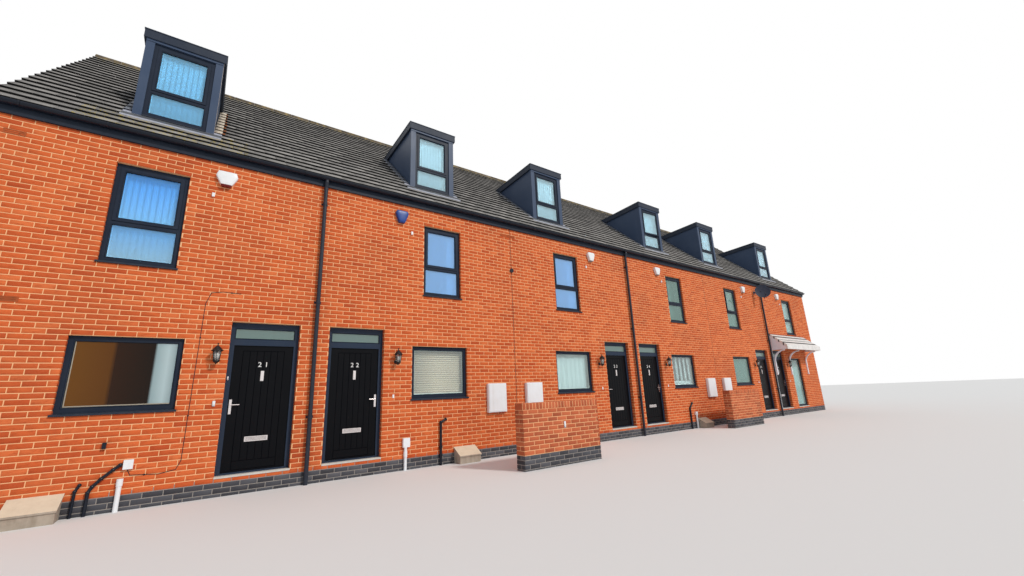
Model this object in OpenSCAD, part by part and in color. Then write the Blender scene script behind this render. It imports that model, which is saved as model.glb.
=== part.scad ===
// Terraced row of six mirrored brick houses with dormers, in millimetres.
// +X runs along the street front, +Y into the houses, +Z up.
// Origin: on the ground under the ridge, in the party wall of the first pair.

/* [Row] */
// Distance from one pair's downpipe to the next, two houses wide
pair_w = 8669; // [8400:1:9000]
// Depth of the houses from front face to rear face
depth = 8200; // [7600:10:9000]
// Extra width of the far end house, for its outer wall
end_extra = 150; // [120:5:250]
// Height of the door sills above the lowest ground
entry_z = 250; // [150:10:400]

/* [Walls] */
// Thickness of front, rear and far end walls
wall_t = 300; // [250:5:350]
// Thickness of the party walls
party_t = 250; // [200:5:300]
// Height of the blue brick base above the door sills
plinth_up = 20; // [5:1:75]
// Height of the wall heads above the ground
wall_h = 5332; // [5250:1:5400]
// Width of the movement joints in the front wall
joint_w = 12; // [8:1:20]

/* [Doors] */
// Door opening's near edge from the downpipe
door_x = 236; // [200:1:300]
// Width of the door openings
door_w = 1004; // [960:1:1060]
// Height of the door heads above the ground
door_head = 2595; // [2550:5:2650]
// Face width of the door frame's jambs
jamb_w = 60; // [50:1:75]
// Depth of the door and window frames
frame_d = 70; // [60:1:90]
// Set back of the door frames from the wall's face
door_back = 95; // [60:1:120]
// Thickness of the door leaf
leaf_t = 44; // [40:1:54]
// Gap round a door leaf
leaf_gap = 5; // [5:0.5:8]
// Top of the door leaf above the ground
leaf_top = 2240; // [2200:1:2280]
// Thickness of the pale sill under a door
cill_t = 28; // [20:1:40]
// Width of the door's planked field
field_w = 594; // [540:6:640]
// Number of planks in the field
planks = 6; // [4:1:8]

/* [Windows] */
// Set back of the window frames from the wall's face
win_back = 55; // [30:1:90]
// Ground window's near edge from the downpipe
gwin_x = 1806; // [1780:1:1840]
// Width of the ground windows
gwin_w = 1252; // [1200:1:1280]
// Sill height of the ground windows
gwin_z = 1245; // [1200:5:1300]
// Height of the ground windows
gwin_h = 1050; // [1000:5:1100]
// Width of the last house's full-height window
unit_w = 1004; // [960:1:1060]
// Upper window's near edge from the downpipe
fwin_x = 2038; // [2000:1:2080]
// Width of the upper and dormer windows
fwin_w = 892; // [850:1:920]
// Sill height of the upper windows
fwin_z = 3345; // [3300:5:3400]
// Height of the upper windows
fwin_h = 1580; // [1500:5:1600]
// Transom height above the upper windows' sills
transom_h = 637; // [600:1:700]
// Face width of the window frames
win_face = 58; // [50:1:75]
// Face width of the opening casements
sash_w = 42; // [35:1:55]
// Reach of the sills past the wall's face
sill_out = 28; // [15:1:40]

/* [Roof] */
// Pitch of the main roof in degrees
pitch = 42.4; // [40:0.1:45]
// Tile thickness kept free above the roof slab
tile_t = 30; // [20:1:40]
// Upright thickness of the roof slab
slab_v = 200; // [150:5:250]
// Reach of the roof slab past the wall's face
eaves = 60; // [55:1:80]
// Reach of the roof past the far end wall
verge = 40; // [30:1:60]
// Radius of the gutters
gutter_r = 56; // [50:1:62]
// Radius of the downpipes
pipe_r = 34; // [30:1:40]

/* [Dormers] */
// Set back of the dormer fronts from the wall's face
dormer_y = 600; // [560:5:650]
// Width of the dormer fronts
dormer_w = 1138; // [1100:1:1180]
// Side reach of the dormer roofs past the cheeks
dormer_lip = 39; // [30:1:60]
// Underside of the dormer roofs at the front
dormer_under = 7652; // [7600:1:7700]
// Depth of the dormer roofs' edge
dormer_edge = 175; // [150:1:200]
// Thickness of the dormer cheeks
cheek_t = 100; // [80:5:120]
// Transom height above the dormer windows' sills
dormer_transom = 520; // [480:1:560]

/* [Canopy] */
// Canopy's near edge from the last pair's downpipe
canopy_x = 217; // [180:1:250]
// Length of the canopy
canopy_w = 3345; // [3200:5:3400]
// Reach of the canopy from the wall
canopy_out = 620; // [500:5:700]
// Height of the canopy's edge at the wall
canopy_back = 3310; // [3200:5:3320]
// Height of the canopy's front edge
canopy_front = 2775; // [2700:5:2850]
// Height of the canopy's underside
canopy_base = 2600; // [2550:5:2650]

/* [Screen walls] */
// Length of the free-standing screen walls
screen_len = 1850; // [1600:25:2100]
// Thickness of the screen walls
screen_t = 215; // [100:5:225]
// Height of the screen walls under their coping
screen_h = 1000; // [800:25:1200]
// Height of the brick-on-edge coping
coping_h = 112; // [100:1:120]

/* [Hidden] */
$fn = 48;

house_w = pair_w / 2;
row_x0 = -house_w;
row_x1 = 2 * pair_w + house_w + end_extra;
ridge_y = depth / 2;
rise = tan(pitch);
under_at_face = wall_h;
slab_at_face = under_at_face + slab_v;
plinth_h = entry_z + plinth_up;
floor_z = entry_z + 40;
floor_t = 250;
first_z = 2920;
attic_z = wall_h + 218;
lintel_h = 150;
first_sill_z = min(fwin_z, wall_h - lintel_h - fwin_h);
eps = 1;

function side(n) = n % 2 == 1 ? -1 : 1;
function pair_x(n) = floor((n - 1) / 2) * pair_w;
function slab_z(y) = slab_at_face + rise * y;
function under_z(y) = under_at_face + rise * y;
// Inner clear width of house n, low and high X
function room(n) = [
    n == 1 ? row_x0 + party_t : (n - 2) * house_w + party_t / 2,
    n == 6 ? row_x1 - wall_t : (n - 1) * house_w - party_t / 2];

// Frames of reference
module front() { translate([0, -ridge_y, 0]) children(); }
module rear() { mirror([0, 1, 0]) translate([0, -ridge_y, 0]) children(); }
module at_house(n) {
    translate([pair_x(n), 0, 0]) mirror([side(n) < 0 ? 1 : 0, 0, 0]) children();
}
// A profile drawn in Y and Z, run along X from a to b
module along_x(a, b) {
    translate([a, 0, 0]) rotate([90, 0, 90]) linear_extrude(b - a) children();
}
// A profile drawn in X and Z, run along Y from a to b
module along_y(a, b) {
    translate([0, b, 0]) rotate([90, 0, 0]) linear_extrude(b - a) children();
}
module span(a, b) { translate(a) cube(b - a); }
// A rectangle from corner a to corner b
module panel(a, b) { translate(a) square(b - a); }
module rod(a, b, r) {
    d = b - a;
    translate(a) rotate([0, acos(d[2] / norm(d)), atan2(d[1], d[0])]) cylinder(h = norm(d), r = r);
}
// A pipe through a list of points, with a slightly wider ball at each bend
module pipe(points, r, bend) {
    last = len(points) - 1;
    for (i = [1 : last]) rod(points[i - 1], points[i], r);
    for (i = [1 : last - 1]) translate(points[i]) sphere(r + bend);
}

// Masonry
module window_holes(n) {
    at_house(n) span([gwin_x, -eps, gwin_z], [gwin_x + gwin_w, wall_t + eps, gwin_z + gwin_h]);
}
module entry_holes(z0, z1) {
    for (n = [1 : 6]) at_house(n)
        span([door_x, -eps, z0], [door_x + door_w, wall_t + eps, z1]);
    at_house(6) span([gwin_x, -eps, z0], [gwin_x + unit_w, wall_t + eps, min(z1, gwin_z + gwin_h)]);
}
module first_holes() {
    for (n = [1 : 6]) at_house(n)
        span([fwin_x, -eps, first_sill_z], [fwin_x + fwin_w, wall_t + eps, first_sill_z + fwin_h]);
}
module joint_gaps() {
    for (k = [0, 1]) translate([k * pair_w + house_w - joint_w / 2, -eps, plinth_h - eps])
        cube([joint_w, wall_t + 2 * eps, wall_h]);
}
module plinth() {
    color([0.20, 0.21, 0.25]) front() difference() {
        span([row_x0, 0, 0], [row_x1, depth, plinth_h]);
        for (n = [1 : 6]) span([room(n)[0], wall_t, -eps], [room(n)[1], depth - wall_t, plinth_h + eps]);
        entry_holes(entry_z, plinth_h + eps);
    }
}
module front_wall_lower() {
    color([0.72, 0.30, 0.17]) front() difference() {
        span([row_x0, 0, plinth_h], [row_x1, wall_t, door_head]);
        entry_holes(plinth_h - eps, door_head + eps);
        for (n = [1 : 5]) window_holes(n);
        joint_gaps();
    }
}
module front_wall_upper() {
    color([0.72, 0.30, 0.17]) front() difference() {
        span([row_x0, 0, door_head], [row_x1, wall_t, wall_h]);
        first_holes();
        joint_gaps();
    }
}
module rear_wall() {
    color([0.72, 0.30, 0.17]) rear() difference() {
        span([row_x0, 0, plinth_h], [row_x1, wall_t, wall_h]);
        for (n = [1 : 6]) window_holes(n);
        first_holes();
    }
}
// A wall from front to rear under the roof slab
module cross_wall(a, b) {
    front() along_x(a, b) polygon([[wall_t, plinth_h], [wall_t, under_z(wall_t)],
        [ridge_y, under_z(ridge_y)], [depth - wall_t, under_z(wall_t)], [depth - wall_t, plinth_h]]);
}
module end_walls() {
    color([0.72, 0.30, 0.17]) {
        cross_wall(row_x0, row_x0 + party_t);
        cross_wall(row_x1 - wall_t, row_x1);
    }
}
module party_walls() {
    color([0.62, 0.60, 0.57]) for (k = [0 : 4])
        cross_wall(k * house_w - party_t / 2, k * house_w + party_t / 2);
}
// Two short free-standing walls in front of the party lines, each at its own distance
screen_x = house_w - 1275;
screen_y = [-1900, -1020];
coping_out = 4;
module screen_walls() {
    color([0.72, 0.30, 0.17]) front() for (k = [0, 1]) translate([k * pair_w + screen_x, screen_y[k], 0]) {
        cube([screen_len, screen_t, screen_h]);
        translate([-coping_out, -coping_out, screen_h])
            cube([screen_len + 2 * coping_out, screen_t + 2 * coping_out, coping_h]);
    }
}

// Floors, with the ground floor run out to the door frames
module floors() {
    color([0.62, 0.58, 0.52]) front() {
        for (n = [1 : 6]) {
            span([room(n)[0], wall_t, 0], [room(n)[1], depth - wall_t, floor_z]);
            at_house(n) span([door_x, door_back + frame_d, entry_z + cill_t],
                [door_x + door_w, wall_t, floor_z]);
            for (z = [first_z, attic_z])
                span([room(n)[0], wall_t, z - floor_t], [room(n)[1], depth - wall_t, z]);
        }
        at_house(6) span([gwin_x, win_back + frame_d, entry_z + cill_t],
            [gwin_x + unit_w, wall_t, floor_z]);
    }
}

// Main roof
fascia_t = 40;
fascia_z = wall_h - 52;
fascia_h = 170;
// Dormer centres from their own pair's downpipe, house by house
dormer_at = [2412, 2514, 2461, 2493, 2451, 2440];
module at_dormer(n) { front() at_house(n) translate([dormer_at[n - 1], 0, 0]) children(); }
// A dormer roof line of height z at the front falls a little to the back
dormer_fall = 0.04;
function fall_z(z, y) = z - dormer_fall * (y - dormer_y);
function meet(z, at_face) = (z + dormer_fall * dormer_y - at_face) / (rise + dormer_fall);
// Lead on the roof round a dormer
apron_t = 12;
function lead_z(y) = slab_z(y) + tile_t + apron_t;
head_board = 45;
dormer_sill = lead_z(dormer_y) + eps;
dormer_win_h = dormer_under - head_board - dormer_sill;
module slope_profile() {
    polygon([[-eaves, slab_z(-eaves)], [ridge_y, slab_z(ridge_y)], [ridge_y, under_z(ridge_y)],
        [wall_t, under_z(wall_t)], [wall_t, wall_h], [0, wall_h], [0, fascia_z + fascia_h],
        [-eaves, fascia_z + fascia_h]]);
}
module dormer_hole() {
    w = dormer_w / 2 - cheek_t;
    near = dormer_y + cheek_t;
    end = meet(dormer_under, under_at_face);
    along_x(-w, w) polygon([[near, 0], [near, fall_z(dormer_under, near)],
        [end, fall_z(dormer_under, end)], [end, 0]]);
    window_gap();
}
// The dormer window's way through its front board
module window_gap() {
    span([-fwin_w / 2, dormer_y - eps, dormer_sill],
        [fwin_w / 2, dormer_y + cheek_t + eps, dormer_sill + dormer_win_h]);
}
module roof_front() {
    color([0.30, 0.28, 0.26]) difference() {
        front() along_x(row_x0, row_x1 + verge) slope_profile();
        for (n = [1 : 6]) at_dormer(n) dormer_hole();
    }
}
module roof_rear() {
    color([0.30, 0.28, 0.26]) rear() along_x(row_x0, row_x1 + verge) slope_profile();
}
// Half-round ridge tiles bedded over both slopes
ridge_r = 115;
ridge_drop = 75;
ridge_skirt = 60;
module ridge() {
    color([0.34, 0.29, 0.23]) front() along_x(row_x0, row_x1 + verge) difference() {
        translate([ridge_y, slab_z(ridge_y) - ridge_drop]) {
            circle(ridge_r);
            translate([-ridge_r, -ridge_skirt]) square([2 * ridge_r, ridge_skirt]);
        }
        polygon([[ridge_y, slab_z(ridge_y)], [2 * ridge_y, slab_z(0)], [0, slab_z(0)]]);
    }
}
// Eaves boards front and rear, and a cap on the far verge
verge_cap_t = 15;
verge_cap_h = 160;
module fascias() {
    color([0.16, 0.17, 0.20]) for (m = [0, 1]) mirror([0, m, 0]) front() {
        span([row_x0, -fascia_t, fascia_z], [row_x1 + verge, 0, fascia_z + fascia_h]);
        along_x(row_x1 + verge, row_x1 + verge + verge_cap_t) polygon([
            [-eaves, slab_z(-eaves) + tile_t], [ridge_y, slab_z(ridge_y) + tile_t],
            [ridge_y, slab_z(ridge_y) + tile_t - verge_cap_h],
            [-eaves, slab_z(-eaves) + tile_t - verge_cap_h]]);
    }
}

// Rainwater goods
gutter_t = 3;
gutter_z = fascia_z + fascia_h - gutter_t;
gutter_y = -fascia_t - gutter_r;
module gutter_profile(r) {
    translate([gutter_y, gutter_z]) difference() {
        intersection() {
            union() {
                circle(r);
                translate([0, -r]) square([r, r]);
            }
            translate([-r, -r]) square([r + gutter_r, r]);
        }
        circle(gutter_r - gutter_t);
    }
}
module gutter_cap(x) {
    along_x(x, x + gutter_t) translate([gutter_y, gutter_z]) difference() {
        circle(gutter_r - gutter_t);
        translate([-gutter_r, 0]) square(2 * gutter_r);
    }
}
union_w = 130;
outlet_w = 190;
module gutter_run() {
    along_x(row_x0, row_x1 + verge) gutter_profile(gutter_r);
    gutter_cap(row_x0);
    gutter_cap(row_x1 + verge - gutter_t);
    for (k = [0 : 2]) along_x(k * pair_w - outlet_w / 2, k * pair_w + outlet_w / 2)
        gutter_profile(gutter_r + 5);
    for (k = [0, 1]) along_x(k * pair_w + house_w - union_w / 2, k * pair_w + house_w + union_w / 2)
        gutter_profile(gutter_r + 4);
}
module gutters() {
    color([0.07, 0.07, 0.08]) {
        front() gutter_run();
        rear() gutter_run();
    }
}
pipe_y = -pipe_r - 28;
neck_bottom = fascia_z - 65;
neck_top = fascia_z + 60;
clip_z = [1020, 2980, neck_bottom - 335];
socket_h = 60;
module downpipe() {
    pipe([[0, pipe_y, 0], [0, pipe_y, neck_bottom], [0, gutter_y, neck_top],
        [0, gutter_y, gutter_z - gutter_r - 5]], pipe_r, 5);
    for (z = clip_z) {
        translate([0, pipe_y, z]) cylinder(h = socket_h, r = pipe_r + 5);
        translate([-pipe_r - 22, -12, z + 12]) cube([2 * pipe_r + 44, 12, 36]);
        translate([-pipe_r / 2, pipe_y, z + 12]) cube([pipe_r, -pipe_y, 36]);
    }
}
module downpipes() {
    color([0.10, 0.10, 0.12]) {
        front() for (k = [0 : 2]) translate([k * pair_w, 0, 0]) downpipe();
        rear() for (k = [0 : 2]) translate([k * pair_w, 0, 0]) downpipe();
    }
}

// Dormers cut into the slope: front board, set-in cheeks, lead and flat roof
post_d = 90;
cheek_in = 12;
frieze_out = 8;
module dormer_shell() {
    half = dormer_w / 2;
    end = meet(dormer_under, slab_at_face);
    post = dormer_y + post_d;
    difference() {
        union() {
            along_x(-half, half) polygon([[dormer_y, slab_z(dormer_y)], [dormer_y, dormer_under],
                [post, fall_z(dormer_under, post) - eps], [post, slab_z(post)]]);
            along_x(-half + cheek_in, half - cheek_in) polygon([[dormer_y, slab_z(dormer_y)],
                [dormer_y, dormer_under], [end, slab_z(end)]]);
            span([-half, dormer_y - frieze_out, dormer_under - head_board],
                [half, dormer_y, dormer_under]);
        }
        along_x(cheek_t - half, half - cheek_t) polygon([[dormer_y + cheek_t, 0],
            [dormer_y + cheek_t, dormer_under], [depth, dormer_under], [depth, 0]]);
        window_gap();
    }
}
module dormer_shells() {
    color([0.20, 0.22, 0.26]) for (n = [1 : 6]) at_dormer(n) dormer_shell();
}
front_lip = 30;
cap_t = 18;
cap_out = 8;
module dormer_roof() {
    half = dormer_w / 2 + dormer_lip;
    y0 = dormer_y - front_lip;
    top = dormer_under + dormer_edge;
    low_end = meet(dormer_under, slab_at_face);
    cap_end = meet(top - cap_t, slab_at_face);
    end = meet(top, slab_at_face);
    along_x(-half, half) polygon([[y0, fall_z(dormer_under, y0)], [y0, fall_z(top - cap_t, y0)],
        [cap_end, slab_z(cap_end)], [low_end, slab_z(low_end)], [dormer_y, dormer_under]]);
    along_x(-half - cap_out, half + cap_out) polygon([
        [y0 - cap_out, fall_z(top - cap_t, y0 - cap_out)], [y0 - cap_out, fall_z(top, y0 - cap_out)],
        [end, slab_z(end)], [cap_end, slab_z(cap_end)]]);
}
module dormer_roofs() {
    color([0.15, 0.16, 0.19]) for (n = [1 : 6]) at_dormer(n) dormer_roof();
}
apron_run = 150;
soaker_w = 120;
module dormer_flashings() {
    half = dormer_w / 2;
    y0 = dormer_y - apron_run;
    end = meet(dormer_under - tile_t - apron_t, slab_at_face);
    color([0.62, 0.64, 0.66]) for (n = [1 : 6]) at_dormer(n) {
        along_x(-half - soaker_w, half + soaker_w) polygon([
            [y0, slab_z(y0) + eps], [y0, lead_z(y0)], [dormer_y, lead_z(dormer_y)],
            [dormer_y, slab_z(dormer_y) + eps]]);
        for (m = [0, 1]) mirror([m, 0, 0]) along_x(half, half + soaker_w) polygon([
            [dormer_y, slab_z(dormer_y) + eps], [dormer_y, lead_z(dormer_y)], [end, lead_z(end)],
            [end, slab_z(end) + eps]]);
    }
}

// Windows
module ring(w, h, t) {
    difference() { square([w, h]); translate([t, t]) square([w - 2 * t, h - 2 * t]); }
}
sash_gap = 2;
sash_out = 12;
mullion = 44;
glass_t = 24;
glass_y = 20;
bead_t = 14;
bead_y = 8;
// Outer frame with a transom, its lower left corner at the origin
module frame_with_transom(w, h, bar) {
    along_y(0, frame_d) difference() {
        square([w, h]);
        panel([win_face, win_face], [w - win_face, bar - mullion / 2]);
        panel([win_face, bar + mullion / 2], [w - win_face, h - win_face]);
    }
    translate([win_face, 0, win_face]) along_y(bead_y, glass_y)
        ring(w - 2 * win_face, bar - mullion / 2 - win_face, bead_t);
}
// A fixed frame with a bead in front of its glass
module single_frame(w, h) {
    along_y(0, frame_d) ring(w, h, win_face);
    translate([win_face, 0, win_face]) along_y(bead_y, glass_y)
        ring(w - 2 * win_face, h - 2 * win_face, bead_t);
}
// Lower left corner and size of the opening casement
function sash_at(bar) = [win_face + sash_gap, bar + mullion / 2 + sash_gap];
function sash_size(w, h, bar) = [w - 2 * (win_face + sash_gap),
    h - bar - mullion / 2 - win_face - 2 * sash_gap];
// Turns what it holds about the casement's hinge side, outwards
module ajar(bar, angle) {
    hinge = [sash_at(bar)[0], -sash_out, 0];
    translate(hinge) rotate([0, 0, -angle]) translate(-hinge) children();
}
module casement(w, h, bar, angle) {
    at = sash_at(bar);
    size = sash_size(w, h, bar);
    ajar(bar, angle) translate([at[0], 0, at[1]]) along_y(-sash_out, frame_d - 20)
        ring(size[0], size[1], sash_w);
}
// Moves a sill, or the window that stands on it, to its hole in house n
sill_t = 30;
module at_ground_sill(n) { at_house(n) translate([gwin_x, win_back, gwin_z]) children(); }
module at_first_sill(n) { at_house(n) translate([fwin_x, win_back, first_sill_z]) children(); }
module at_ground_win(n) { at_ground_sill(n) translate([0, 0, sill_t]) children(); }
module at_first_win(n) { at_first_sill(n) translate([0, 0, sill_t]) children(); }
gframe_h = gwin_h - sill_t;
fframe_h = fwin_h - sill_t;
dframe_h = dormer_win_h - sill_t;
dormer_win_back = 25;
module at_dormer_sill(n) {
    at_dormer(n) translate([-fwin_w / 2, dormer_y + dormer_win_back, dormer_sill]) children();
}
module at_dormer_win(n) { at_dormer_sill(n) translate([0, 0, sill_t]) children(); }
first_bar = transom_h - sill_t;
dormer_bar = dormer_transom - sill_t;
unit_z = entry_z + cill_t;
unit_h = gwin_z + gwin_h - unit_z;
module at_unit() { front() at_house(6) translate([gwin_x, win_back, unit_z]) children(); }
// House 5's upper casement and house 4's dormer casement stand a little open
function open_angle(n) = n == 5 ? 4 : 0;
function dormer_angle(n) = n == 4 ? 4 : 0;
module window_frames() {
    color([0.17, 0.19, 0.22]) {
        front() for (n = [1 : 5]) at_ground_win(n) single_frame(gwin_w, gframe_h);
        rear() for (n = [1 : 6]) at_ground_win(n) single_frame(gwin_w, gframe_h);
        front() for (n = [1 : 6]) at_first_win(n) frame_with_transom(fwin_w, fframe_h, first_bar);
        rear() for (n = [1 : 6]) at_first_win(n) frame_with_transom(fwin_w, fframe_h, first_bar);
        for (n = [1 : 6]) at_dormer_win(n) frame_with_transom(fwin_w, dframe_h, dormer_bar);
        at_unit() single_frame(unit_w, unit_h);
    }
}
module casements() {
    color([0.19, 0.21, 0.25]) {
        front() for (n = [1 : 6]) at_first_win(n) casement(fwin_w, fframe_h, first_bar, open_angle(n));
        rear() for (n = [1 : 6]) at_first_win(n) casement(fwin_w, fframe_h, first_bar, 0);
        for (n = [1 : 6]) at_dormer_win(n) casement(fwin_w, dframe_h, dormer_bar, dormer_angle(n));
    }
}
module pane(x, z, w, h) { translate([x, glass_y, z]) cube([w, glass_t, h]); }
module full_pane(w, h) { pane(win_face, win_face, w - 2 * win_face, h - 2 * win_face); }
module two_panes(w, h, bar, angle) {
    at = sash_at(bar);
    size = sash_size(w, h, bar);
    pane(win_face, win_face, w - 2 * win_face, bar - mullion / 2 - win_face);
    ajar(bar, angle) pane(at[0] + sash_w, at[1] + sash_w, size[0] - 2 * sash_w, size[1] - 2 * sash_w);
}
module window_glass() {
    color([0.55, 0.70, 0.78, 0.35]) {
        front() for (n = [1 : 5]) at_ground_win(n) full_pane(gwin_w, gframe_h);
        rear() for (n = [1 : 6]) at_ground_win(n) full_pane(gwin_w, gframe_h);
        front() for (n = [1 : 6]) at_first_win(n) two_panes(fwin_w, fframe_h, first_bar, open_angle(n));
        rear() for (n = [1 : 6]) at_first_win(n) two_panes(fwin_w, fframe_h, first_bar, 0);
        for (n = [1 : 6]) at_dormer_win(n) two_panes(fwin_w, dframe_h, dormer_bar, dormer_angle(n));
        at_unit() full_pane(unit_w, unit_h);
        front() for (n = [1 : 6]) at_house(n) translate([door_x, door_back, 0])
            pane(jamb_w, leaf_top + rail_h, door_w - 2 * jamb_w, door_head - leaf_top - 2 * rail_h);
    }
}
// Sills run under their frames and slope outwards, with ears past the opening and a drip
sill_ear = 18;
drip = 6;
module sill(w, back) {
    nose = -back - sill_out;
    along_x(0, w) polygon([[-back, 0], [frame_d, 0], [frame_d, sill_t], [0, sill_t],
        [-back, sill_t - drip]]);
    along_x(-sill_ear, w + sill_ear) polygon([[nose, -drip], [-back, -drip],
        [-back, sill_t - drip], [nose, sill_t - 2 * drip]]);
}
module dormer_sill_board() {
    nose = -dormer_win_back - sill_out / 2;
    along_x(0, fwin_w) polygon([[nose, 0], [frame_d, 0], [frame_d, sill_t], [0, sill_t],
        [nose, sill_t - 2 * drip]]);
}
module window_sills() {
    color([0.15, 0.16, 0.19]) {
        front() for (n = [1 : 5]) at_ground_sill(n) sill(gwin_w, win_back);
        rear() for (n = [1 : 6]) at_ground_sill(n) sill(gwin_w, win_back);
        front() for (n = [1 : 6]) at_first_sill(n) sill(fwin_w, win_back);
        rear() for (n = [1 : 6]) at_first_sill(n) sill(fwin_w, win_back);
        for (n = [1 : 6]) at_dormer_sill(n) dormer_sill_board();
    }
}

// Doors: leaf in a rebated frame, on hinges at its inner face
rail_h = 85;
stop_w = 12;
leaf_y = door_back + 23;
leaf_x = door_x + jamb_w + leaf_gap;
leaf_w = door_w - 2 * jamb_w - 2 * leaf_gap;
leaf_z = entry_z + cill_t + 31;
leaf_back = leaf_y + leaf_t;
door_mid = door_x + door_w / 2;
module door_frame() {
    foot = entry_z + cill_t;
    translate([door_x, 0, 0]) {
        along_y(door_back, door_back + frame_d) difference() {
            panel([0, foot], [door_w, door_head]);
            panel([jamb_w, leaf_z - leaf_gap], [door_w - jamb_w, leaf_top + leaf_gap]);
            panel([jamb_w, leaf_top + rail_h], [door_w - jamb_w, door_head - rail_h]);
        }
        along_y(door_back, leaf_y - leaf_gap) difference() {
            panel([jamb_w, leaf_z - leaf_gap], [door_w - jamb_w, leaf_top + leaf_gap]);
            panel([jamb_w + stop_w, leaf_z - 2 * leaf_gap], [door_w - jamb_w - stop_w, leaf_top - stop_w]);
        }
        translate([jamb_w, 0, leaf_top + rail_h]) along_y(door_back + bead_y, door_back + glass_y)
            ring(door_w - 2 * jamb_w, door_head - leaf_top - 2 * rail_h, bead_t);
    }
}
module door_frames() {
    color([0.15, 0.16, 0.19]) front() for (n = [1 : 6]) at_house(n) door_frame();
}
cill_out = 12;
module thresholds() {
    color([0.80, 0.78, 0.74]) front() {
        for (n = [1 : 6]) at_house(n) span([door_x, -cill_out, entry_z],
            [door_x + door_w, wall_t, entry_z + cill_t]);
        at_house(6) span([gwin_x, -cill_out, entry_z], [gwin_x + unit_w, wall_t, entry_z + cill_t]);
    }
}
// Planked field over a plain kick panel, drawn as grooves
groove_w = 8;
groove_d = 3;
kick_h = 151;
field_top = leaf_top - 100;
module plank_lines() {
    x0 = door_mid - field_w / 2;
    for (k = [0 : planks]) translate([x0 + k * field_w / planks - groove_w / 2, leaf_z + kick_h])
        square([groove_w, field_top - leaf_z - kick_h]);
    for (z = [leaf_z + 25, leaf_z + kick_h, field_top])
        translate([x0 - groove_w / 2, z - groove_w / 2]) square([field_w + groove_w, groove_w]);
    for (x = [x0, x0 + field_w]) translate([x - groove_w / 2, leaf_z + 25]) square([groove_w, kick_h - 25]);
}
module leaf(n) {
    color([0.05, 0.05, 0.06]) front() at_house(n) difference() {
        span([leaf_x, leaf_y, leaf_z], [leaf_x + leaf_w, leaf_back, leaf_top]);
        along_y(leaf_y - eps, leaf_y + groove_d) plank_lines();
        along_y(leaf_back - groove_d, leaf_back + eps) plank_lines();
    }
}
// Three hinges a door: the frame's half carries the pin, the leaf's half turns on it
pin_r = 3;
knuckle_r = 6;
hinge_h = 90;
hinge_x = door_x + jamb_w + 2;
hinge_y = max(door_back + frame_d, leaf_back) + knuckle_r + 2;
hinge_z = [leaf_z + 180, (leaf_z + leaf_top) / 2, leaf_top - 270];
module frame_half() {
    plate = door_back + frame_d;
    cylinder(h = hinge_h, r = pin_r);
    for (z = [0, hinge_h * 2 / 3 + 0.5]) translate([0, 0, z]) {
        cylinder(h = hinge_h / 3 - 0.5, r = knuckle_r);
        span([-9, plate - hinge_y, 0], [-1, 0, hinge_h / 3 - 0.5]);
    }
    span([-jamb_w + 12, plate - hinge_y, 0], [-9, plate - hinge_y + 3, hinge_h]);
}
module leaf_half() {
    translate([0, 0, hinge_h / 3 + 0.5]) difference() {
        union() {
            cylinder(h = hinge_h / 3 - 1, r = knuckle_r);
            span([1, leaf_back - hinge_y, 0], [9, 0, hinge_h / 3 - 1]);
        }
        translate([0, 0, -eps]) cylinder(h = hinge_h, r = pin_r + 0.3);
    }
    span([leaf_x - hinge_x, leaf_back - hinge_y, 0], [47, leaf_back - hinge_y + 3, hinge_h]);
}
module hinges() {
    color([0.55, 0.55, 0.56]) front() for (n = [1 : 6]) at_house(n) for (z = hinge_z)
        translate([hinge_x, hinge_y, z]) frame_half();
}
// Letter plate, knocker and a lever on a long plate, with the inner side's own lever
slot_z = 771;
knocker_z = 1660;
lock_x = leaf_x + leaf_w - 42;
lever_z = 1298;
module lever_set() {
    translate([lock_x - 17, -8, lever_z - 138]) cube([34, 8, 220]);
    translate([lock_x, 0, lever_z]) rotate([90, 0, 0]) cylinder(h = 50, r = 9);
    rod([lock_x, -44, lever_z], [lock_x - 118, -44, lever_z], 8);
}
module letter_plate() {
    difference() {
        span([door_mid - 160, -8, slot_z - 37], [door_mid + 160, 0, slot_z + 37]);
        span([door_mid - 135, -9, slot_z - 22], [door_mid + 135, -5, slot_z + 22]);
    }
    span([door_mid - 132, -10, slot_z - 19], [door_mid + 132, -5, slot_z + 19]);
}
module fittings(n) {
    color([0.80, 0.80, 0.78]) front() at_house(n) {
        translate([0, leaf_y, 0]) {
            lever_set();
            letter_plate();
            span([door_mid - 23, -10, knocker_z], [door_mid + 23, 0, knocker_z + 160]);
            span([door_mid - 15, -20, knocker_z + 14], [door_mid + 15, -10, knocker_z + 146]);
        }
        translate([0, leaf_back, 0]) mirror([0, 1, 0]) {
            lever_set();
            letter_plate();
        }
        for (z = hinge_z) translate([hinge_x, hinge_y, z]) leaf_half();
    }
}
module door_1() { leaf(1); }
module door_2() { leaf(2); }
module door_3() { leaf(3); }
module door_4() { leaf(4); }
module door_5() { leaf(5); }
module door_6() { leaf(6); }
module fittings_1() { fittings(1); }
module fittings_2() { fittings(2); }
module fittings_3() { fittings(3); }
module fittings_4() { fittings(4); }
module fittings_5() { fittings(5); }
module fittings_6() { fittings(6); }

// Canopy over the last house's door and full-height window
canopy_x0 = 2 * pair_w + canopy_x;
canopy_x1 = canopy_x0 + canopy_w;
canopy_t = 60;
canopy_steps = 4;
step_h = 22;
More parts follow.
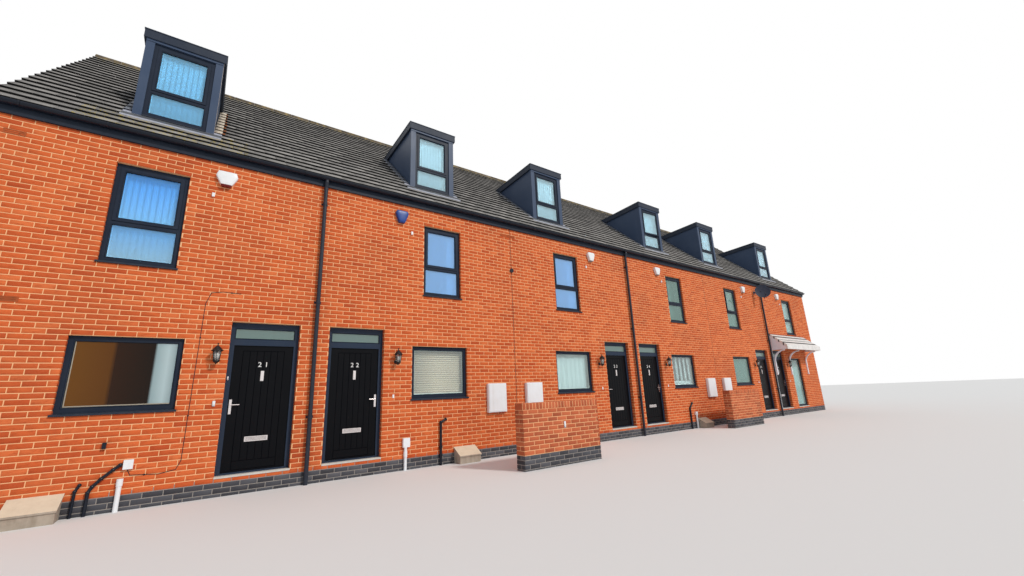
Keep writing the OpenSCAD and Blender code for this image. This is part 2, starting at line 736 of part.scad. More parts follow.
// Points down the stepped top, in Y and Z
function canopy_point(t, up) = [-canopy_out * t, canopy_back + (canopy_front - canopy_back) * t + up];
canopy_top = [for (i = [0 : canopy_steps - 1]) each [
    canopy_point(i / canopy_steps, -step_h), canopy_point((i + 1) / canopy_steps, 0)]];
module canopy_roof() {
    color([0.80, 0.80, 0.80]) front() along_x(canopy_x0, canopy_x1) polygon(concat(canopy_top, [
        [-canopy_out, canopy_base], [canopy_t - canopy_out, canopy_base],
        [canopy_t - canopy_out, canopy_front - 1.5 * canopy_t], [0, canopy_back - 1.5 * canopy_t]]));
}
bracket_r = 450;
bracket_t = 45;
bracket_w = 60;
bracket_leg = 550;
cheek_panel_t = 25;
bracket_x = [canopy_x0 + canopy_t, (canopy_x0 + canopy_x1 - bracket_w) / 2 - 200,
    canopy_x1 - 200];
module canopy_frame() {
    color([0.90, 0.90, 0.92]) front() {
        for (x = [canopy_x0, canopy_x1 - cheek_panel_t]) along_x(x, x + cheek_panel_t) polygon([
            [0, canopy_back - 1.5 * canopy_t], [canopy_t - canopy_out, canopy_front - 1.5 * canopy_t],
            [canopy_t - canopy_out, canopy_base], [0, canopy_base]]);
        for (x = bracket_x) along_x(x, x + bracket_w) {
            translate([-bracket_r, canopy_base - bracket_r]) intersection() {
                difference() { circle(bracket_r); circle(bracket_r - bracket_t); }
                square(bracket_r);
            }
            translate([-bracket_t, canopy_base - bracket_r - bracket_leg]) square([bracket_t, bracket_leg]);
        }
    }
}

// Services on the front, placed from the party lines and the downpipes
meter_w = 470;
meter_h = 610;
meter_d = 90;
meter_z = entry_z + 666;
// Near edges of each pair's two boxes from the party line
meter_off = [[-800, 248], [-758, 272]];
module meter_box() {
    span([0, -meter_d + 12, 0], [meter_w, 0, meter_h]);
    span([14, -meter_d, 14], [meter_w - 14, -meter_d + 12, meter_h - 14]);
    translate([meter_w - 55, -meter_d + 12, meter_h / 2]) rotate([90, 0, 0]) cylinder(h = 18, r = 16);
}
module meter_boxes() {
    color([0.88, 0.88, 0.88]) front() for (k = [0, 1]) for (off = meter_off[k])
        translate([k * pair_w + house_w + off, 0, meter_z]) meter_box();
}
// Low boxes with sloped lids, on the ground against the wall
gas_w = 490;
gas_d = 255;
gas_at = [1063 - house_w, house_w - 1620, pair_w + house_w - 1567];
module gas_boxes() {
    color([0.66, 0.60, 0.50]) front() for (x = gas_at) {
        along_x(x + 12, x + gas_w - 12) polygon([[0, 0], [0, 290], [-gas_d, 143], [-gas_d, 0]]);
        along_x(x, x + gas_w) polygon([[0, 290], [0, 306], [-gas_d - 16, 150], [-gas_d - 16, 128],
            [-gas_d, 128], [-gas_d, 143]]);
    }
}
// White boxes on their pipes, two of them beside a gas box
module by_gas_box(k) { translate([gas_at[k], 0, 0]) children(); }
module junction_boxes() {
    color([0.90, 0.90, 0.90]) front() {
        by_gas_box(0) {
            span([1005, -50, 517], [1107, 0, 637]);
            rod([998, -36, 0], [998, -36, 405], 28);
            rod([998, -36, 315], [998, -36, 405], 35);
        }
        span([1640, -60, 402], [1770, 0, 564]);
        rod([1690, -36, 0], [1690, -36, 402], 28);
        rod([1690, -36, 235], [1690, -36, 330], 35);
        by_gas_box(2) {
            span([-116, -60, 395], [-26, 0, 500]);
            rod([-71, -36, 0], [-71, -36, 395], 28);
        }
        rod([canopy_x0 - 45, -20, entry_z], [canopy_x0 - 45, -20, canopy_base], 14);
    }
}
lantern_at = [1390, 1482, 1517, 1490, 1441, 1450];
lantern_z = entry_z + 1665;
lantern_out = 118;
module lantern() {
    translate([0, 0, 62]) rotate([90, 0, 0]) cylinder(h = 15, r = 42);
    pipe([[0, -10, 62], [0, -62, 14], [0, -lantern_out, 2]], 8, 3);
    translate([0, -lantern_out, 0]) {
        cylinder(h = 14, r = 14);
        translate([0, 0, 14]) cylinder(h = 32, r1 = 22, r2 = 48);
        translate([0, 0, 46]) cylinder(h = 150, r1 = 43, r2 = 62);
        translate([0, 0, 196]) cylinder(h = 14, r = 80);
        translate([0, 0, 210]) cylinder(h = 62, r1 = 76, r2 = 18);
        translate([0, 0, 272]) cylinder(h = 28, r = 7);
        translate([0, 0, 304]) sphere(11);
    }
}
module lanterns() {
    color([0.06, 0.06, 0.07]) front() for (n = [1 : 6]) at_house(n)
        translate([lantern_at[n - 1], 0, lantern_z]) lantern();
}
alarm_at = [1556, 1517, 1519, 1575, 1448, 1576];
alarm_z = wall_h - 340;
alarm_d = 70;
sensor_at = [155, 238, 205, 200, 205, 200];
module alarm_boxes() {
    color([0.85, 0.85, 0.86]) front() for (n = [1 : 6]) at_house(n)
        translate([alarm_at[n - 1], 0, alarm_z]) {
        along_y(-alarm_d, 0) polygon(n == 1
            ? [[-62, -140], [62, -140], [155, 40], [125, 125], [-125, 125], [-155, 40]]
            : [[-60, -130], [60, -130], [138, 80], [110, 130], [-110, 130], [-138, 80]]);
        span([sensor_at[n - 1] - 20, -35, -345], [sensor_at[n - 1] + 20, 0, -280]);
        translate([lantern_at[n - 1] - alarm_at[n - 1] - 40, 0, entry_z + 1085 - alarm_z])
            span([-17, -14, -32], [17, 0, 32]);
    }
}
// A dished reflector on a wall arm, with its feed arm below
dish_r = 290;
dish_depth = 50;
dish_t = 4;
dish_out = 360;
dish_turn = [80, 0, -52];
module dish() {
    bowl_r = (dish_r * dish_r + dish_depth * dish_depth) / (2 * dish_depth);
    color([0.16, 0.17, 0.21]) front() translate([2 * pair_w - 438, 0, wall_h - 350]) {
        rotate([90, 0, 0]) cylinder(h = 12, r = 70);
        rod([0, 0, 0], [0, -dish_out + 70, 0], 19);
        translate([0, -dish_out, 0]) rotate(dish_turn) {
            intersection() {
                translate([0, 0, bowl_r - dish_depth]) difference() {
                    sphere(bowl_r + dish_t, $fn = 96);
                    sphere(bowl_r, $fn = 96);
                }
                translate([0, 0, -2 * dish_depth]) cylinder(h = 2 * dish_depth, r = dish_r);
            }
            translate([0, 0, -dish_depth - 95]) cylinder(h = 95, r = 45);
            pipe([[0, -20, -dish_depth - 40], [0, -dish_r - 25, -25], [0, -dish_r + 30, 300]], 12, 3);
            rod([0, -dish_r + 30, 300], [0, -dish_r + 75, 240], 30);
        }
    }
}
// Air bricks in the wall, with a thin raised rim
module vents() {
    vent = [215, 8, 68];
    color([0.62, 0.26, 0.15]) front()
        for (p = [[350 - house_w, wall_h - 297], [654 - house_w, entry_z + 2482],
                [house_w - 184, wall_h - 237], [house_w + 36, wall_h - 237]])
            translate([p[0] - vent[0] / 2, -vent[1], p[1] - vent[2] / 2]) difference() {
                cube(vent);
                for (z = [14, 39]) translate([20, -eps, z]) cube([vent[0] - 40, 5, 15]);
            }
}
// Waste pipes, a round vent and the clipped cable of the first house
cable = [[gas_at[0] + 1050, 511], [gas_at[0] + 1086, 435], [-1886, 411], [-1700, 445],
    [-1652, 560], [-1634, 1784], [-1616, 2850], [-1560, 3030], [-1412, 3058], [-1168, 3051]];
module service_pipes() {
    color([0.10, 0.10, 0.10]) front() {
        along_y(-6, 0) for (i = [1 : len(cable) - 1]) {
            d = cable[i] - cable[i - 1];
            translate(cable[i - 1]) rotate(atan2(d[1], d[0])) translate([0, -4]) square([norm(d), 8]);
            translate(cable[i]) circle(4.5);
        }
        for (i = [2, 5, 6, 9]) let (p = (cable[i - 1] + cable[i]) / 2)
            translate([p[0] - 9, -9, p[1] - 9]) cube([18, 9, 18]);
        by_gas_box(0) {
            pipe([[975, 0, 579], [975, -38, 579], [911, -38, 526], [809, -38, 430],
                [736, -38, 345], [705, -38, 280], [702, -38, 0]], 20, 5);
            pipe([[614, 0, 381], [614, -34, 381], [581, -34, 310], [574, -34, 0]], 17, 5);
            span([759, -45, 800], [801, 0, 880]);
        }
        by_gas_box(1) {
            pipe([[-192, 0, 847], [-192, -38, 847], [-298, -38, 800], [-298, -38, 0]], 24, 6);
            for (z = [166, 313]) rod([-298, -38, z], [-298, -38, z + 45], 34);
        }
        by_gas_box(2)
            pipe([[-225, 0, 770], [-225, -34, 770], [-372, -34, 620], [-372, -34, 0]], 24, 6);
        translate([house_w, 0, wall_h - 1122]) {
            rod([0, 0, 0], [0, -22, 0], 46);
            rod([0, -22, 0], [0, -30, 0], 52);
        }
    }
}

plinth();
front_wall_lower();
front_wall_upper();
rear_wall();
end_walls();
party_walls();
screen_walls();
floors();
roof_front();
roof_rear();
ridge();
fascias();
gutters();
downpipes();
dormer_shells();
dormer_roofs();
dormer_flashings();
window_frames();
casements();
window_glass();
window_sills();
door_frames();
thresholds();
hinges();
door_1();
door_2();
door_3();
door_4();
door_5();
door_6();
fittings_1();
fittings_2();
fittings_3();
fittings_4();
fittings_5();
fittings_6();
canopy_roof();
canopy_frame();
meter_boxes();
gas_boxes();
junction_boxes();
lanterns();
alarm_boxes();
dish();
vents();
service_pipes();
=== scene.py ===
import math
import bpy
import numpy as np
from mathutils import Matrix


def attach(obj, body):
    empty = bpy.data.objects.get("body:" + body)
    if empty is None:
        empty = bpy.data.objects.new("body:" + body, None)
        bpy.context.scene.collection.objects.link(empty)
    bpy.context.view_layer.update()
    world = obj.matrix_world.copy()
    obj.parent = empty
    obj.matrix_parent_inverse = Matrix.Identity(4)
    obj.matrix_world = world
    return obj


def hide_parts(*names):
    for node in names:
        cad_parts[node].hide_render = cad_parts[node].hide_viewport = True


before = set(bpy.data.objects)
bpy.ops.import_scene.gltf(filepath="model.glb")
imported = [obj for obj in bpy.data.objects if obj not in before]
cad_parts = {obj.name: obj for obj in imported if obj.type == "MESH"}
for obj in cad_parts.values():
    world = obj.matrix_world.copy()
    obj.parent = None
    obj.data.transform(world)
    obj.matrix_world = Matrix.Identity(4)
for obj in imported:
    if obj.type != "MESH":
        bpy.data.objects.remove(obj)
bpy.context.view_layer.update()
rng = np.random.default_rng(11)


# The camera stands at eye level in front of the first pair of houses. It looks up and
# along the row, with a wide lens and a slight roll.
def stand(name, data):
    """A new object with this data, linked to the scene."""
    o = bpy.data.objects.new(name, data)
    bpy.context.scene.collection.objects.link(o)
    return o


yaw, pitch, roll = 0.63301, 0.245726, -0.0427038
eye = (-1.551742, -12.124912, 1.27894)
sensor_width, focal_pixels, picture_pixels = 36.0, 423.198, 1024
ahead = np.array([math.sin(yaw) * math.cos(pitch), math.cos(yaw) * math.cos(pitch), math.sin(pitch)])
level = np.array([math.cos(yaw), -math.sin(yaw), 0.0])
rising = np.cross(level, ahead)
to_right = math.cos(roll) * level + math.sin(roll) * rising
to_top = math.cos(roll) * rising - math.sin(roll) * level
camera = stand("camera", bpy.data.cameras.new("camera"))
place = Matrix.Identity(4)
for i in range(3):
    place[i] = (to_right[i], to_top[i], -ahead[i], eye[i])
camera.matrix_world = place
camera.data.sensor_width = sensor_width
camera.data.lens = sensor_width * focal_pixels / picture_pixels
camera.data.clip_end = 400.0
bpy.context.scene.camera = camera
bpy.context.scene.view_settings.view_transform = "Standard"


# The studio: a pale floor that keeps the shadow, a world that is white to the camera and
# in gloss and glass, and one broad soft lamp high on the right.
def plug(n, socket, value):
    """Feeds a node's input: a socket is linked, and a number, a vector or an (r, g, b)
    becomes the input's value."""
    if isinstance(value, bpy.types.NodeSocket):
        n.id_data.links.new(value, n.inputs[socket])
    else:
        n.inputs[socket].default_value = (*value, 1) if n.inputs[socket].type == "RGBA" else value


def node(owner, kind, feeds=(), **settings):
    """A new shader node in the tree of a material, a world or a group, with its settings
    and with (input, value) pairs fed to it."""
    n = getattr(owner, "node_tree", owner).nodes.new("ShaderNode" + kind)
    for setting, value in settings.items():
        setattr(n, setting, value)
    for socket, value in feeds:
        plug(n, socket, value)
    return n


def tree_of(*values):
    """The node tree of the first socket among some values."""
    return next(v.id_data for v in values if isinstance(v, bpy.types.NodeSocket))


def calc(kind, a, b=0.0, clamp=False):
    """One Math node on sockets or numbers; returns its result."""
    return node(tree_of(a, b), "Math", ((0, a), (1, b)), operation=kind, use_clamp=clamp).outputs[0]


def mix_shaders(factor, a, b, output):
    """Shows shader a where the factor is 0 and shader b where it is 1."""
    n = node(factor.id_data, "MixShader", ((0, factor), (1, a.outputs[0]), (2, b.outputs[0])))
    plug(factor.id_data.nodes[output], "Surface", n.outputs[0])


def material(name, colour, roughness, gloss=0.5, metallic=0.0):
    """A material with plain values in its Principled shader."""
    m = bpy.data.materials.new(name)
    m.use_nodes = True
    values = (("Base Color", colour), ("Roughness", roughness), ("Specular IOR Level", gloss),
        ("Metallic", metallic))
    for socket, value in values:
        plug(m.node_tree.nodes["Principled BSDF"], socket, value)
    return m


floor_mesh = bpy.data.meshes.new("studio_floor")
floor_mesh.from_pydata([(-130, -130, 0), (150, -130, 0), (150, 150, 0), (-130, 150, 0)], [], [(0, 1, 2, 3)])
floor_mesh.materials.append(material("studio_floor", (0.82, 0.82, 0.82), 0.9))
floor = stand("studio_floor", floor_mesh)

world = bpy.data.worlds.new("studio")
bpy.context.scene.world = world
world.use_nodes = True
sky = world.node_tree.nodes["Background"]
plug(sky, "Color", (0.93, 0.96, 1.0))
plug(sky, "Strength", 0.52)
white = node(world, "Background", [("Color", (1, 1, 1))])
rays = node(world, "LightPath").outputs
seen = calc("MAXIMUM", rays["Is Camera Ray"], rays["Is Glossy Ray"])
mix_shaders(calc("MAXIMUM", seen, rays["Is Transmission Ray"]), sky, white, "World Output")

lamp = stand("key_lamp", bpy.data.lights.new("key_lamp", "SUN"))
lamp.data.energy = 1.8
lamp.data.angle = 0.12
lamp.data.color = (1.0, 0.96, 0.9)
lamp.rotation_euler = (math.radians(52), 0, math.radians(24))


# Mortar: the CAD walls are the mortar bed, buff outside and plastered white inside.
# The bricks stand 4 mm proud of it as joined meshes, one for each face of the building.
def times(a, b):
    """The product of two values."""
    return calc("MULTIPLY", a, b)


def above(a, b):
    """1 where a is more than b, and 0 elsewhere."""
    return calc("GREATER_THAN", a, b)


def below(a, b):
    """1 where a is less than b, and 0 elsewhere."""
    return calc("LESS_THAN", a, b)


def object_coords(owner):
    """The Object coordinates."""
    return node(owner, "TexCoord").outputs["Object"]


def axes(owner):
    """The X, Y and Z of the Object coordinates."""
    return node(owner, "SeparateXYZ", [(0, object_coords(owner))]).outputs


def noise(owner, scale, detail=4.0, rough=0.6, squeeze=(1, 1, 1)):
    """Noise on the Object coordinates, which squeeze multiplies along X, Y and Z first."""
    coords = object_coords(owner)
    if squeeze != (1, 1, 1):
        coords = node(owner, "Mapping", (("Vector", coords), ("Scale", squeeze))).outputs["Vector"]
    feeds = (("Vector", coords), ("Scale", scale), ("Detail", detail), ("Roughness", rough))
    return node(owner, "TexNoise", feeds).outputs["Fac"]


def ramp(value, stops):
    """A colour ramp through (place, colour) stops."""
    n = node(value.id_data, "ValToRGB", [("Fac", value)])
    while len(n.color_ramp.elements) < len(stops):
        n.color_ramp.elements.new(0.5)
    for element, (at, colour) in zip(n.color_ramp.elements, stops):
        element.position = at
        element.color = (*colour, 1)
    return n.outputs["Color"]


def fade(value, low, high, most=1.0):
    """0 at low and below it, most at high and above it, and a straight rise between them."""
    feeds = (("Value", value), ("From Min", low), ("From Max", high), ("To Max", most))
    return node(value.id_data, "MapRange", feeds).outputs[0]


def mixed(factor, a, b, kind="MIX"):
    """Mixes colour a with colour b, each a socket or an (r, g, b), by a factor."""
    feeds = ((0, factor), (6, a), (7, b))
    return node(tree_of(factor, a, b), "Mix", feeds, data_type="RGBA", blend_type=kind).outputs[2]


def paint(value, socket="Base Color"):
    """Feeds a value into its own material's shader."""
    plug(value.id_data.nodes["Principled BSDF"], socket, value)


def bump(height, strength, distance):
    """Feeds a height into its own material's normal."""
    feeds = (("Strength", strength), ("Distance", distance), ("Height", height))
    paint(node(height.id_data, "Bump", feeds).outputs["Normal"], "Normal")


def dress(m, *names):
    """Gives CAD nodes their material, and returns it."""
    for name in names:
        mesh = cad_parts[name].data
        mesh.materials.clear()
        mesh.materials.append(m)
    return m


wall_y, wall_depth, plinth_line, end_plane = 4.1, 0.17, 0.247, 21.802
mortar = material("mortar_bed", (0.76, 0.43, 0.2), 0.93, gloss=0.1)
x, y, z = axes(mortar)
grain = noise(mortar, 60.0, 6.0)
sandy = mixed(grain, (0.84, 0.42, 0.185), (0.99, 0.66, 0.38))
sandy = mixed(times(noise(mortar, 1.3, 3.0), 0.35), sandy, (0.72, 0.38, 0.2))
grey = mixed(grain, (0.2, 0.18, 0.17), (0.42, 0.39, 0.36))
sandy = mixed(below(z, plinth_line), sandy, grey)
inside = times(below(calc("ABSOLUTE", y), wall_y - wall_depth), below(x, end_plane))
paint(mixed(inside, sandy, (0.82, 0.8, 0.76)))
bump(grain, 0.5, 0.002)
dress(mortar, "front_wall_lower", "front_wall_upper", "rear_wall", "end_walls", "screen_walls")


# Red bricks in stretcher bond: 215 by 65 mm faces on a 225 by 75 mm gauge with 10 mm
# joints, cut at openings, with slightly different shades and slightly worn edges.
course, brick_length, joint = 0.075, 0.225, 0.01
proud, worn = 0.004, 0.0035
box_quads = np.array([[0, 3, 2, 1], [4, 5, 6, 7], [0, 1, 5, 4], [1, 2, 6, 5], [2, 3, 7, 6], [3, 0, 4, 7]])


def cut(b, holes, least_w, least_h):
    """Cuts rows that begin (x0, z0, x1, z1) by each hole (x0, z0, x1, z1) into what is left
    beside, above and below it, and drops slivers. Further columns are carried along."""
    for hx0, hz0, hx1, hz1 in holes:
        hit = (b[:, 0] < hx1) & (b[:, 2] > hx0) & (b[:, 1] < hz1) & (b[:, 3] > hz0)
        left, right, over, under = (b[hit].copy() for _ in range(4))
        left[:, 2] = np.minimum(left[:, 2], hx0)
        right[:, 0] = np.maximum(right[:, 0], hx1)
        for part in (over, under):
            part[:, 0] = np.maximum(part[:, 0], hx0)
            part[:, 2] = np.minimum(part[:, 2], hx1)
        over[:, 1] = np.maximum(over[:, 1], hz1)
        under[:, 3] = np.minimum(under[:, 3], hz0)
        b = np.concatenate([b[~hit], left, right, over, under])
        b = b[(b[:, 2] - b[:, 0] > least_w) & (b[:, 3] - b[:, 1] > least_h)]
    return b


def bond(x0, x1, z0, z1, z_datum, x_datum, holes=()):
    """Rows of rectangles (x0, z0, x1, z1): whole bricks in half bond, clipped to the wall
    and then cut by each hole into what is left of them beside, below and above it."""
    rows = np.arange(math.floor((z0 - z_datum) / course), math.ceil((z1 - z_datum) / course))
    first, last = math.floor((x0 - x_datum) / brick_length), math.ceil((x1 - x_datum) / brick_length)
    cols = np.arange(first - 1, last + 1)
    r, c = np.meshgrid(rows, cols, indexing="ij")
    left = x_datum + c * brick_length + np.where(r % 2 == 0, 0.0, brick_length / 2) + joint / 2
    low = z_datum + r * course + joint / 2
    b = np.stack([left, low, left + brick_length - joint, low + course - joint], -1).reshape(-1, 4)
    b[:, [0, 2]] = np.clip(b[:, [0, 2]], x0, x1)
    b[:, [1, 3]] = np.clip(b[:, [1, 3]], z0, z1)
    return cut(b, holes, 0.018, 0.012)


def at_points(x, y, z):
    """Rows of points from coordinates that are stretched to one shape."""
    return np.stack(np.broadcast_arrays(x, y, z), -1).reshape(-1, 3)


def repeated(quads, points_each, count):
    """The quads of one form, numbered on for a number of copies of it."""
    return (np.asarray(quads)[None] + points_each * np.arange(count)[:, None, None]).reshape(-1, 4)


def brick_faces(rects, origin, along, out, up=(0, 0, 1)):
    """Each rectangle becomes a low pillow: four corners on the mortar bed, four corners
    moved in by the worn edge and out by the height, joined by five faces. Corner n is at
    origin + along * x + up * z + out * depth, with up to 1 mm of random unevenness."""
    origin, along, up, out = (np.asarray(v, float) for v in (origin, along, up, out))
    x = rects[:, [0, 2, 2, 0]]
    z = rects[:, [1, 1, 3, 3]]
    flat = origin + x[..., None] * along + z[..., None] * up
    lift = proud + rng.uniform(-0.0012, 0.0012, (len(rects), 4))
    xt = x + np.array([1, -1, -1, 1]) * worn + rng.uniform(-0.001, 0.001, x.shape)
    zt = z + np.array([1, 1, -1, -1]) * worn + rng.uniform(-0.001, 0.001, x.shape)
    top = origin + xt[..., None] * along + zt[..., None] * up + lift[..., None] * out
    points = np.concatenate([flat, top], 1).reshape(-1, 3)
    quads = box_quads[1:] if np.dot(np.cross(along, up), out) > 0 else box_quads[1:, ::-1]
    tone = np.repeat(rng.random((len(rects), 3)), 8, axis=0)
    return points, repeated(quads, 8, len(rects)), tone


def quad_piece(name, parts, m, body="house_row"):
    """One smooth mesh of parts set one after another, each of them its points, its quads
    and its points' shades or None. The shades become a colour attribute."""
    starts = np.cumsum([0] + [len(p) for p, _, _ in parts])
    faces = np.concatenate([f + start for (_, f, _), start in zip(parts, starts)])
    mesh = bpy.data.meshes.new(name)
    mesh.from_pydata(np.concatenate([p for p, _, _ in parts]), [], faces, shade_flat=False)
    if parts[0][2] is not None:
        tone = np.concatenate([np.c_[t, np.ones(len(t))] for _, _, t in parts])
        layer = mesh.attributes.new("tone", "FLOAT_COLOR", "POINT")
        layer.data.foreach_set("color", tone.astype(np.float32).ravel())
    mesh.materials.append(m)
    o = stand(name, mesh)
    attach(o, body)
    return o


def tone_of(owner):
    """The three shades of each brick, tile or slat. Most are random; in some pieces one of them marks painted
    shade or bleached lead instead.
    """
    shades = node(owner, "Attribute", attribute_name="tone").outputs["Color"]
    return node(owner, "SeparateColor", [(0, shades)]).outputs


red_brick = material("red_brick", (0.58, 0.11, 0.03), 0.85, gloss=0.1)
fired = ramp(tone_of(red_brick)[0], [(0.0, (0.54, 0.092, 0.028)), (0.15, (0.65, 0.124, 0.036)),
    (0.7, (0.75, 0.16, 0.046)), (1.0, (0.83, 0.212, 0.07))])
blotch = noise(red_brick, 14.0, 5.0, 0.65)
fired = mixed(times(blotch, 0.4), fired, (0.46, 0.082, 0.028))
drag = noise(red_brick, 1.0, 4.0, 0.65, squeeze=(14.0, 14.0, 62.0))
fired = mixed(fade(drag, 0.48, 0.72, 0.6), fired, (0.4, 0.062, 0.018))
fired = mixed(fade(noise(red_brick, 0.8), 0.5, 0.75, 0.5), fired, (0.38, 0.075, 0.03))
speck = noise(red_brick, 160.0, 3.0, 0.7)
paint(mixed(times(above(speck, 0.66), 0.3), fired, (0.8, 0.42, 0.24)))
bump(calc("ADD", speck, blotch), 0.55, 0.0015)

pair_w, house_w = 8.669, 4.3345
row_x0, row_x1 = -4.3345, 21.8225
bed, wall_head, gap_head, gap_half = 0.27, 5.332, 5.4, 0.006
doorway, upper_window = (0.236, 1.24, 0.25, 2.595), (2.038, 2.93, 3.345, 4.925)
lower_window, full_light = (1.806, 3.058, 1.245, 2.295), (1.806, 2.81, 0.25, 2.295)


def mirrored(n, a, b):
    """The span a to b, counted from a pair's downpipe, in house n of the row."""
    start = ((n - 1) // 2) * pair_w
    return (start - b, start - a) if n % 2 else (start + a, start + b)


def opening(n, x0, x1, z0, z1):
    """An opening of house n as a hole (x0, z0, x1, z1)."""
    a, b = mirrored(n, x0, x1)
    return a, z0, b, z1


def four_sides(x0, x1, y0, y1):
    """The front, rear, left and right faces of a block, each as a point on it, the way
    along it and the way out of it."""
    return (((0, y0, 0), (1, 0, 0), (0, -1, 0)), ((0, y1, 0), (1, 0, 0), (0, 1, 0)),
        ((x0, 0, 0), (0, 1, 0), (-1, 0, 0)), ((x1, 0, 0), (0, 1, 0), (1, 0, 0)))


front_holes, rear_holes = [], []
for n in range(1, 7):
    lower = lower_window if n < 6 else full_light
    front_holes += [opening(n, *doorway), opening(n, *upper_window), opening(n, *lower)]
    rear_holes += [opening(n, *upper_window), opening(n, *lower_window)]
between = [k * pair_w + house_w for k in (0, 1)]
joints = [(x - gap_half, bed, x + gap_half, gap_head) for x in between]
front_side, rear_side, left_side, right_side = four_sides(row_x0, row_x1, -wall_y, wall_y)
long_span, deep_span = (row_x0 - proud, row_x1 + proud), (-wall_y - proud, wall_y + proud)
rects = bond(*long_span, bed, wall_head, bed, 0.0, front_holes + joints)
quad_piece("front_bricks", [brick_faces(rects, *front_side)], red_brick)
rects = bond(*long_span, bed, wall_head, bed, 0.06, rear_holes)
quad_piece("rear_bricks", [brick_faces(rects, *rear_side)], red_brick)


# Roof tiles: flat interlocking concrete tiles, 0.33 m wide on a 0.2665 m gauge, laid in
# broken bond from the gutter up. Each lies on the one below, and cut ones meet the dormers.
# The nose and underside of each are painted near-black as painted shade along the course.
slope = math.radians(42.4)
rise, run = math.sin(slope), math.cos(slope)
slab_foot, overhang = 5.532, 0.115
tile_gauge, tile_lap, tile_width, tile_gap = 0.2665, 0.06, 0.33, 0.002
tile_low, tile_high = 0.012, 0.044
fall = (tile_high - tile_low) / tile_gauge
six_sides = [[k, (k + 1) % 6, 6 + (k + 1) % 6, 6 + k] for k in range(6)]


def on_slope(s, n, side=-1):
    """The y and z of a point s up the slope and n above its slab; side is -1 for the front
    slope and 1 for the rear one."""
    return side * (wall_y - s * run + n * rise), slab_foot + s * rise + n * run


def tiles(x0, x1, top, holes):
    """Rows (x0, s0, x1, s1, foot) up the slope: every other row is shifted by half a tile,
    foot is where the whole tile's lower edge lies, and s is the distance up the slope."""
    rows = np.arange(0, math.ceil((top + overhang) / tile_gauge))
    cols = np.arange(-1, math.ceil((x1 - x0) / tile_width) + 1)
    r, c = np.meshgrid(rows, cols, indexing="ij")
    left = x0 + (c + np.where(r % 2 == 0, 0.0, 0.5)) * tile_width
    foot = r * tile_gauge - overhang
    right, head = left + tile_width - tile_gap, foot + tile_gauge + tile_lap
    b = np.stack([left + tile_gap, foot, right, head, foot], -1).reshape(-1, 5)
    b[:, [0, 2]] = np.clip(b[:, [0, 2]], x0, x1)
    b[:, 3] = np.minimum(b[:, 3], top)
    b = b[(b[:, 2] - b[:, 0] > 0.03) & (b[:, 3] - b[:, 1] > 0.05)]
    return cut(b, holes, 0.02, 0.03)


def tile_prisms(b, side):
    """Each row becomes a prism through six points of its long section: the lower edge, its
    rounded nose, and a top that falls by the tile's thickness over one gauge."""
    foot, head = b[:, 1], b[:, 3]
    lift = rng.uniform(-0.0015, 0.0025, len(b))
    nose = tile_high - fall * (foot - b[:, 4]) + lift
    back = tile_high - fall * (head - b[:, 4]) + lift
    under = np.full(len(b), 0.001)
    lip = np.maximum(tile_low - fall * (foot - b[:, 4]), 0.001)
    s = np.stack([foot, foot, foot + 0.005, head, head, foot + 0.04], 1)
    y, z = on_slope(s, np.stack([lip, nose - 0.005, nose, back, under, under], 1), side)
    points = at_points(b[:, [0, 2], None], y[:, None], z[:, None])
    quads = np.array(six_sides + [[0, 5, 2, 1], [5, 4, 3, 2], [6, 7, 8, 11], [11, 8, 9, 10]])
    tone = np.repeat(rng.random((len(b), 3)), 12, axis=0)
    # The third tone marks each nose and the underside at its foot, which are painted near-black as shade.
    tone[:, 2] = np.tile([1, 1, 0, 0, 0, 1], 2 * len(b))
    return points, repeated(quads if side < 0 else quads[:, ::-1], 12, len(b)), tone


roof_tile = material("roof_tile", (0.1, 0.09, 0.08), 0.9, gloss=0.15)
tones_and_nose_shade = tone_of(roof_tile)
x, y, z = axes(roof_tile)
greys = [(0.0, (0.205, 0.198, 0.191)), (0.5, (0.265, 0.255, 0.246)), (1.0, (0.345, 0.331, 0.318))]
concrete = ramp(tones_and_nose_shade[0], greys)
weather = noise(roof_tile, 5.0, 6.0, 0.7)
concrete = mixed(fade(weather, 0.45, 0.75, 0.7), concrete, (0.41, 0.393, 0.37))
near_first = below(calc("ABSOLUTE", calc("SUBTRACT", x, -2.4)), 1.1)
patch = calc("MAXIMUM", times(below(z, 6.05), near_first), times(above(z, 8.95), 0.8))
lichen = above(noise(roof_tile, 19.0, 3.0, 0.75), 0.57)
concrete = mixed(times(lichen, patch), concrete, (0.47, 0.36, 0.055))
# Painted shade: the noses are painted near-black along each course.
paint(mixed(tones_and_nose_shade[2], concrete, (0.008, 0.008, 0.009)))
bump(weather, 0.4, 0.002)

dormer_at = [2.412, 2.514, 2.461, 2.493, 2.451, 2.44]
dormer_x = [mirrored(n, off, off)[0] for n, off in enumerate(dormer_at, 1)]
cheek_half, cap_half, verge = 0.684, 0.612, 0.04
dormer_cuts = []
for x in dormer_x:
    dormer_cuts.append((x - cheek_half, 0.455 / run, x + cheek_half, 2.2 / run))
    dormer_cuts.append((x - cap_half, 2.19 / run, x + cap_half, 2.45 / run))
for name, side, cuts in (("front_tiles", -1, dormer_cuts), ("rear_tiles", 1, [])):
    rows = tiles(row_x0, row_x1 + verge, wall_y / run - 0.02, cuts)
    quad_piece(name, [tile_prisms(rows, side)], roof_tile)
dress(roof_tile, "roof_front", "roof_rear")


# Ridge tiles: half-round clay-coloured concrete, about 0.45 m long, bedded in mortar,
# which shows in the joints between them. The CAD ridge is that mortar.
def strips(a, b):
    """Quads from each point of one row to the next and across to another row."""
    return np.stack([a, a + 1, b + 1, b], 1)


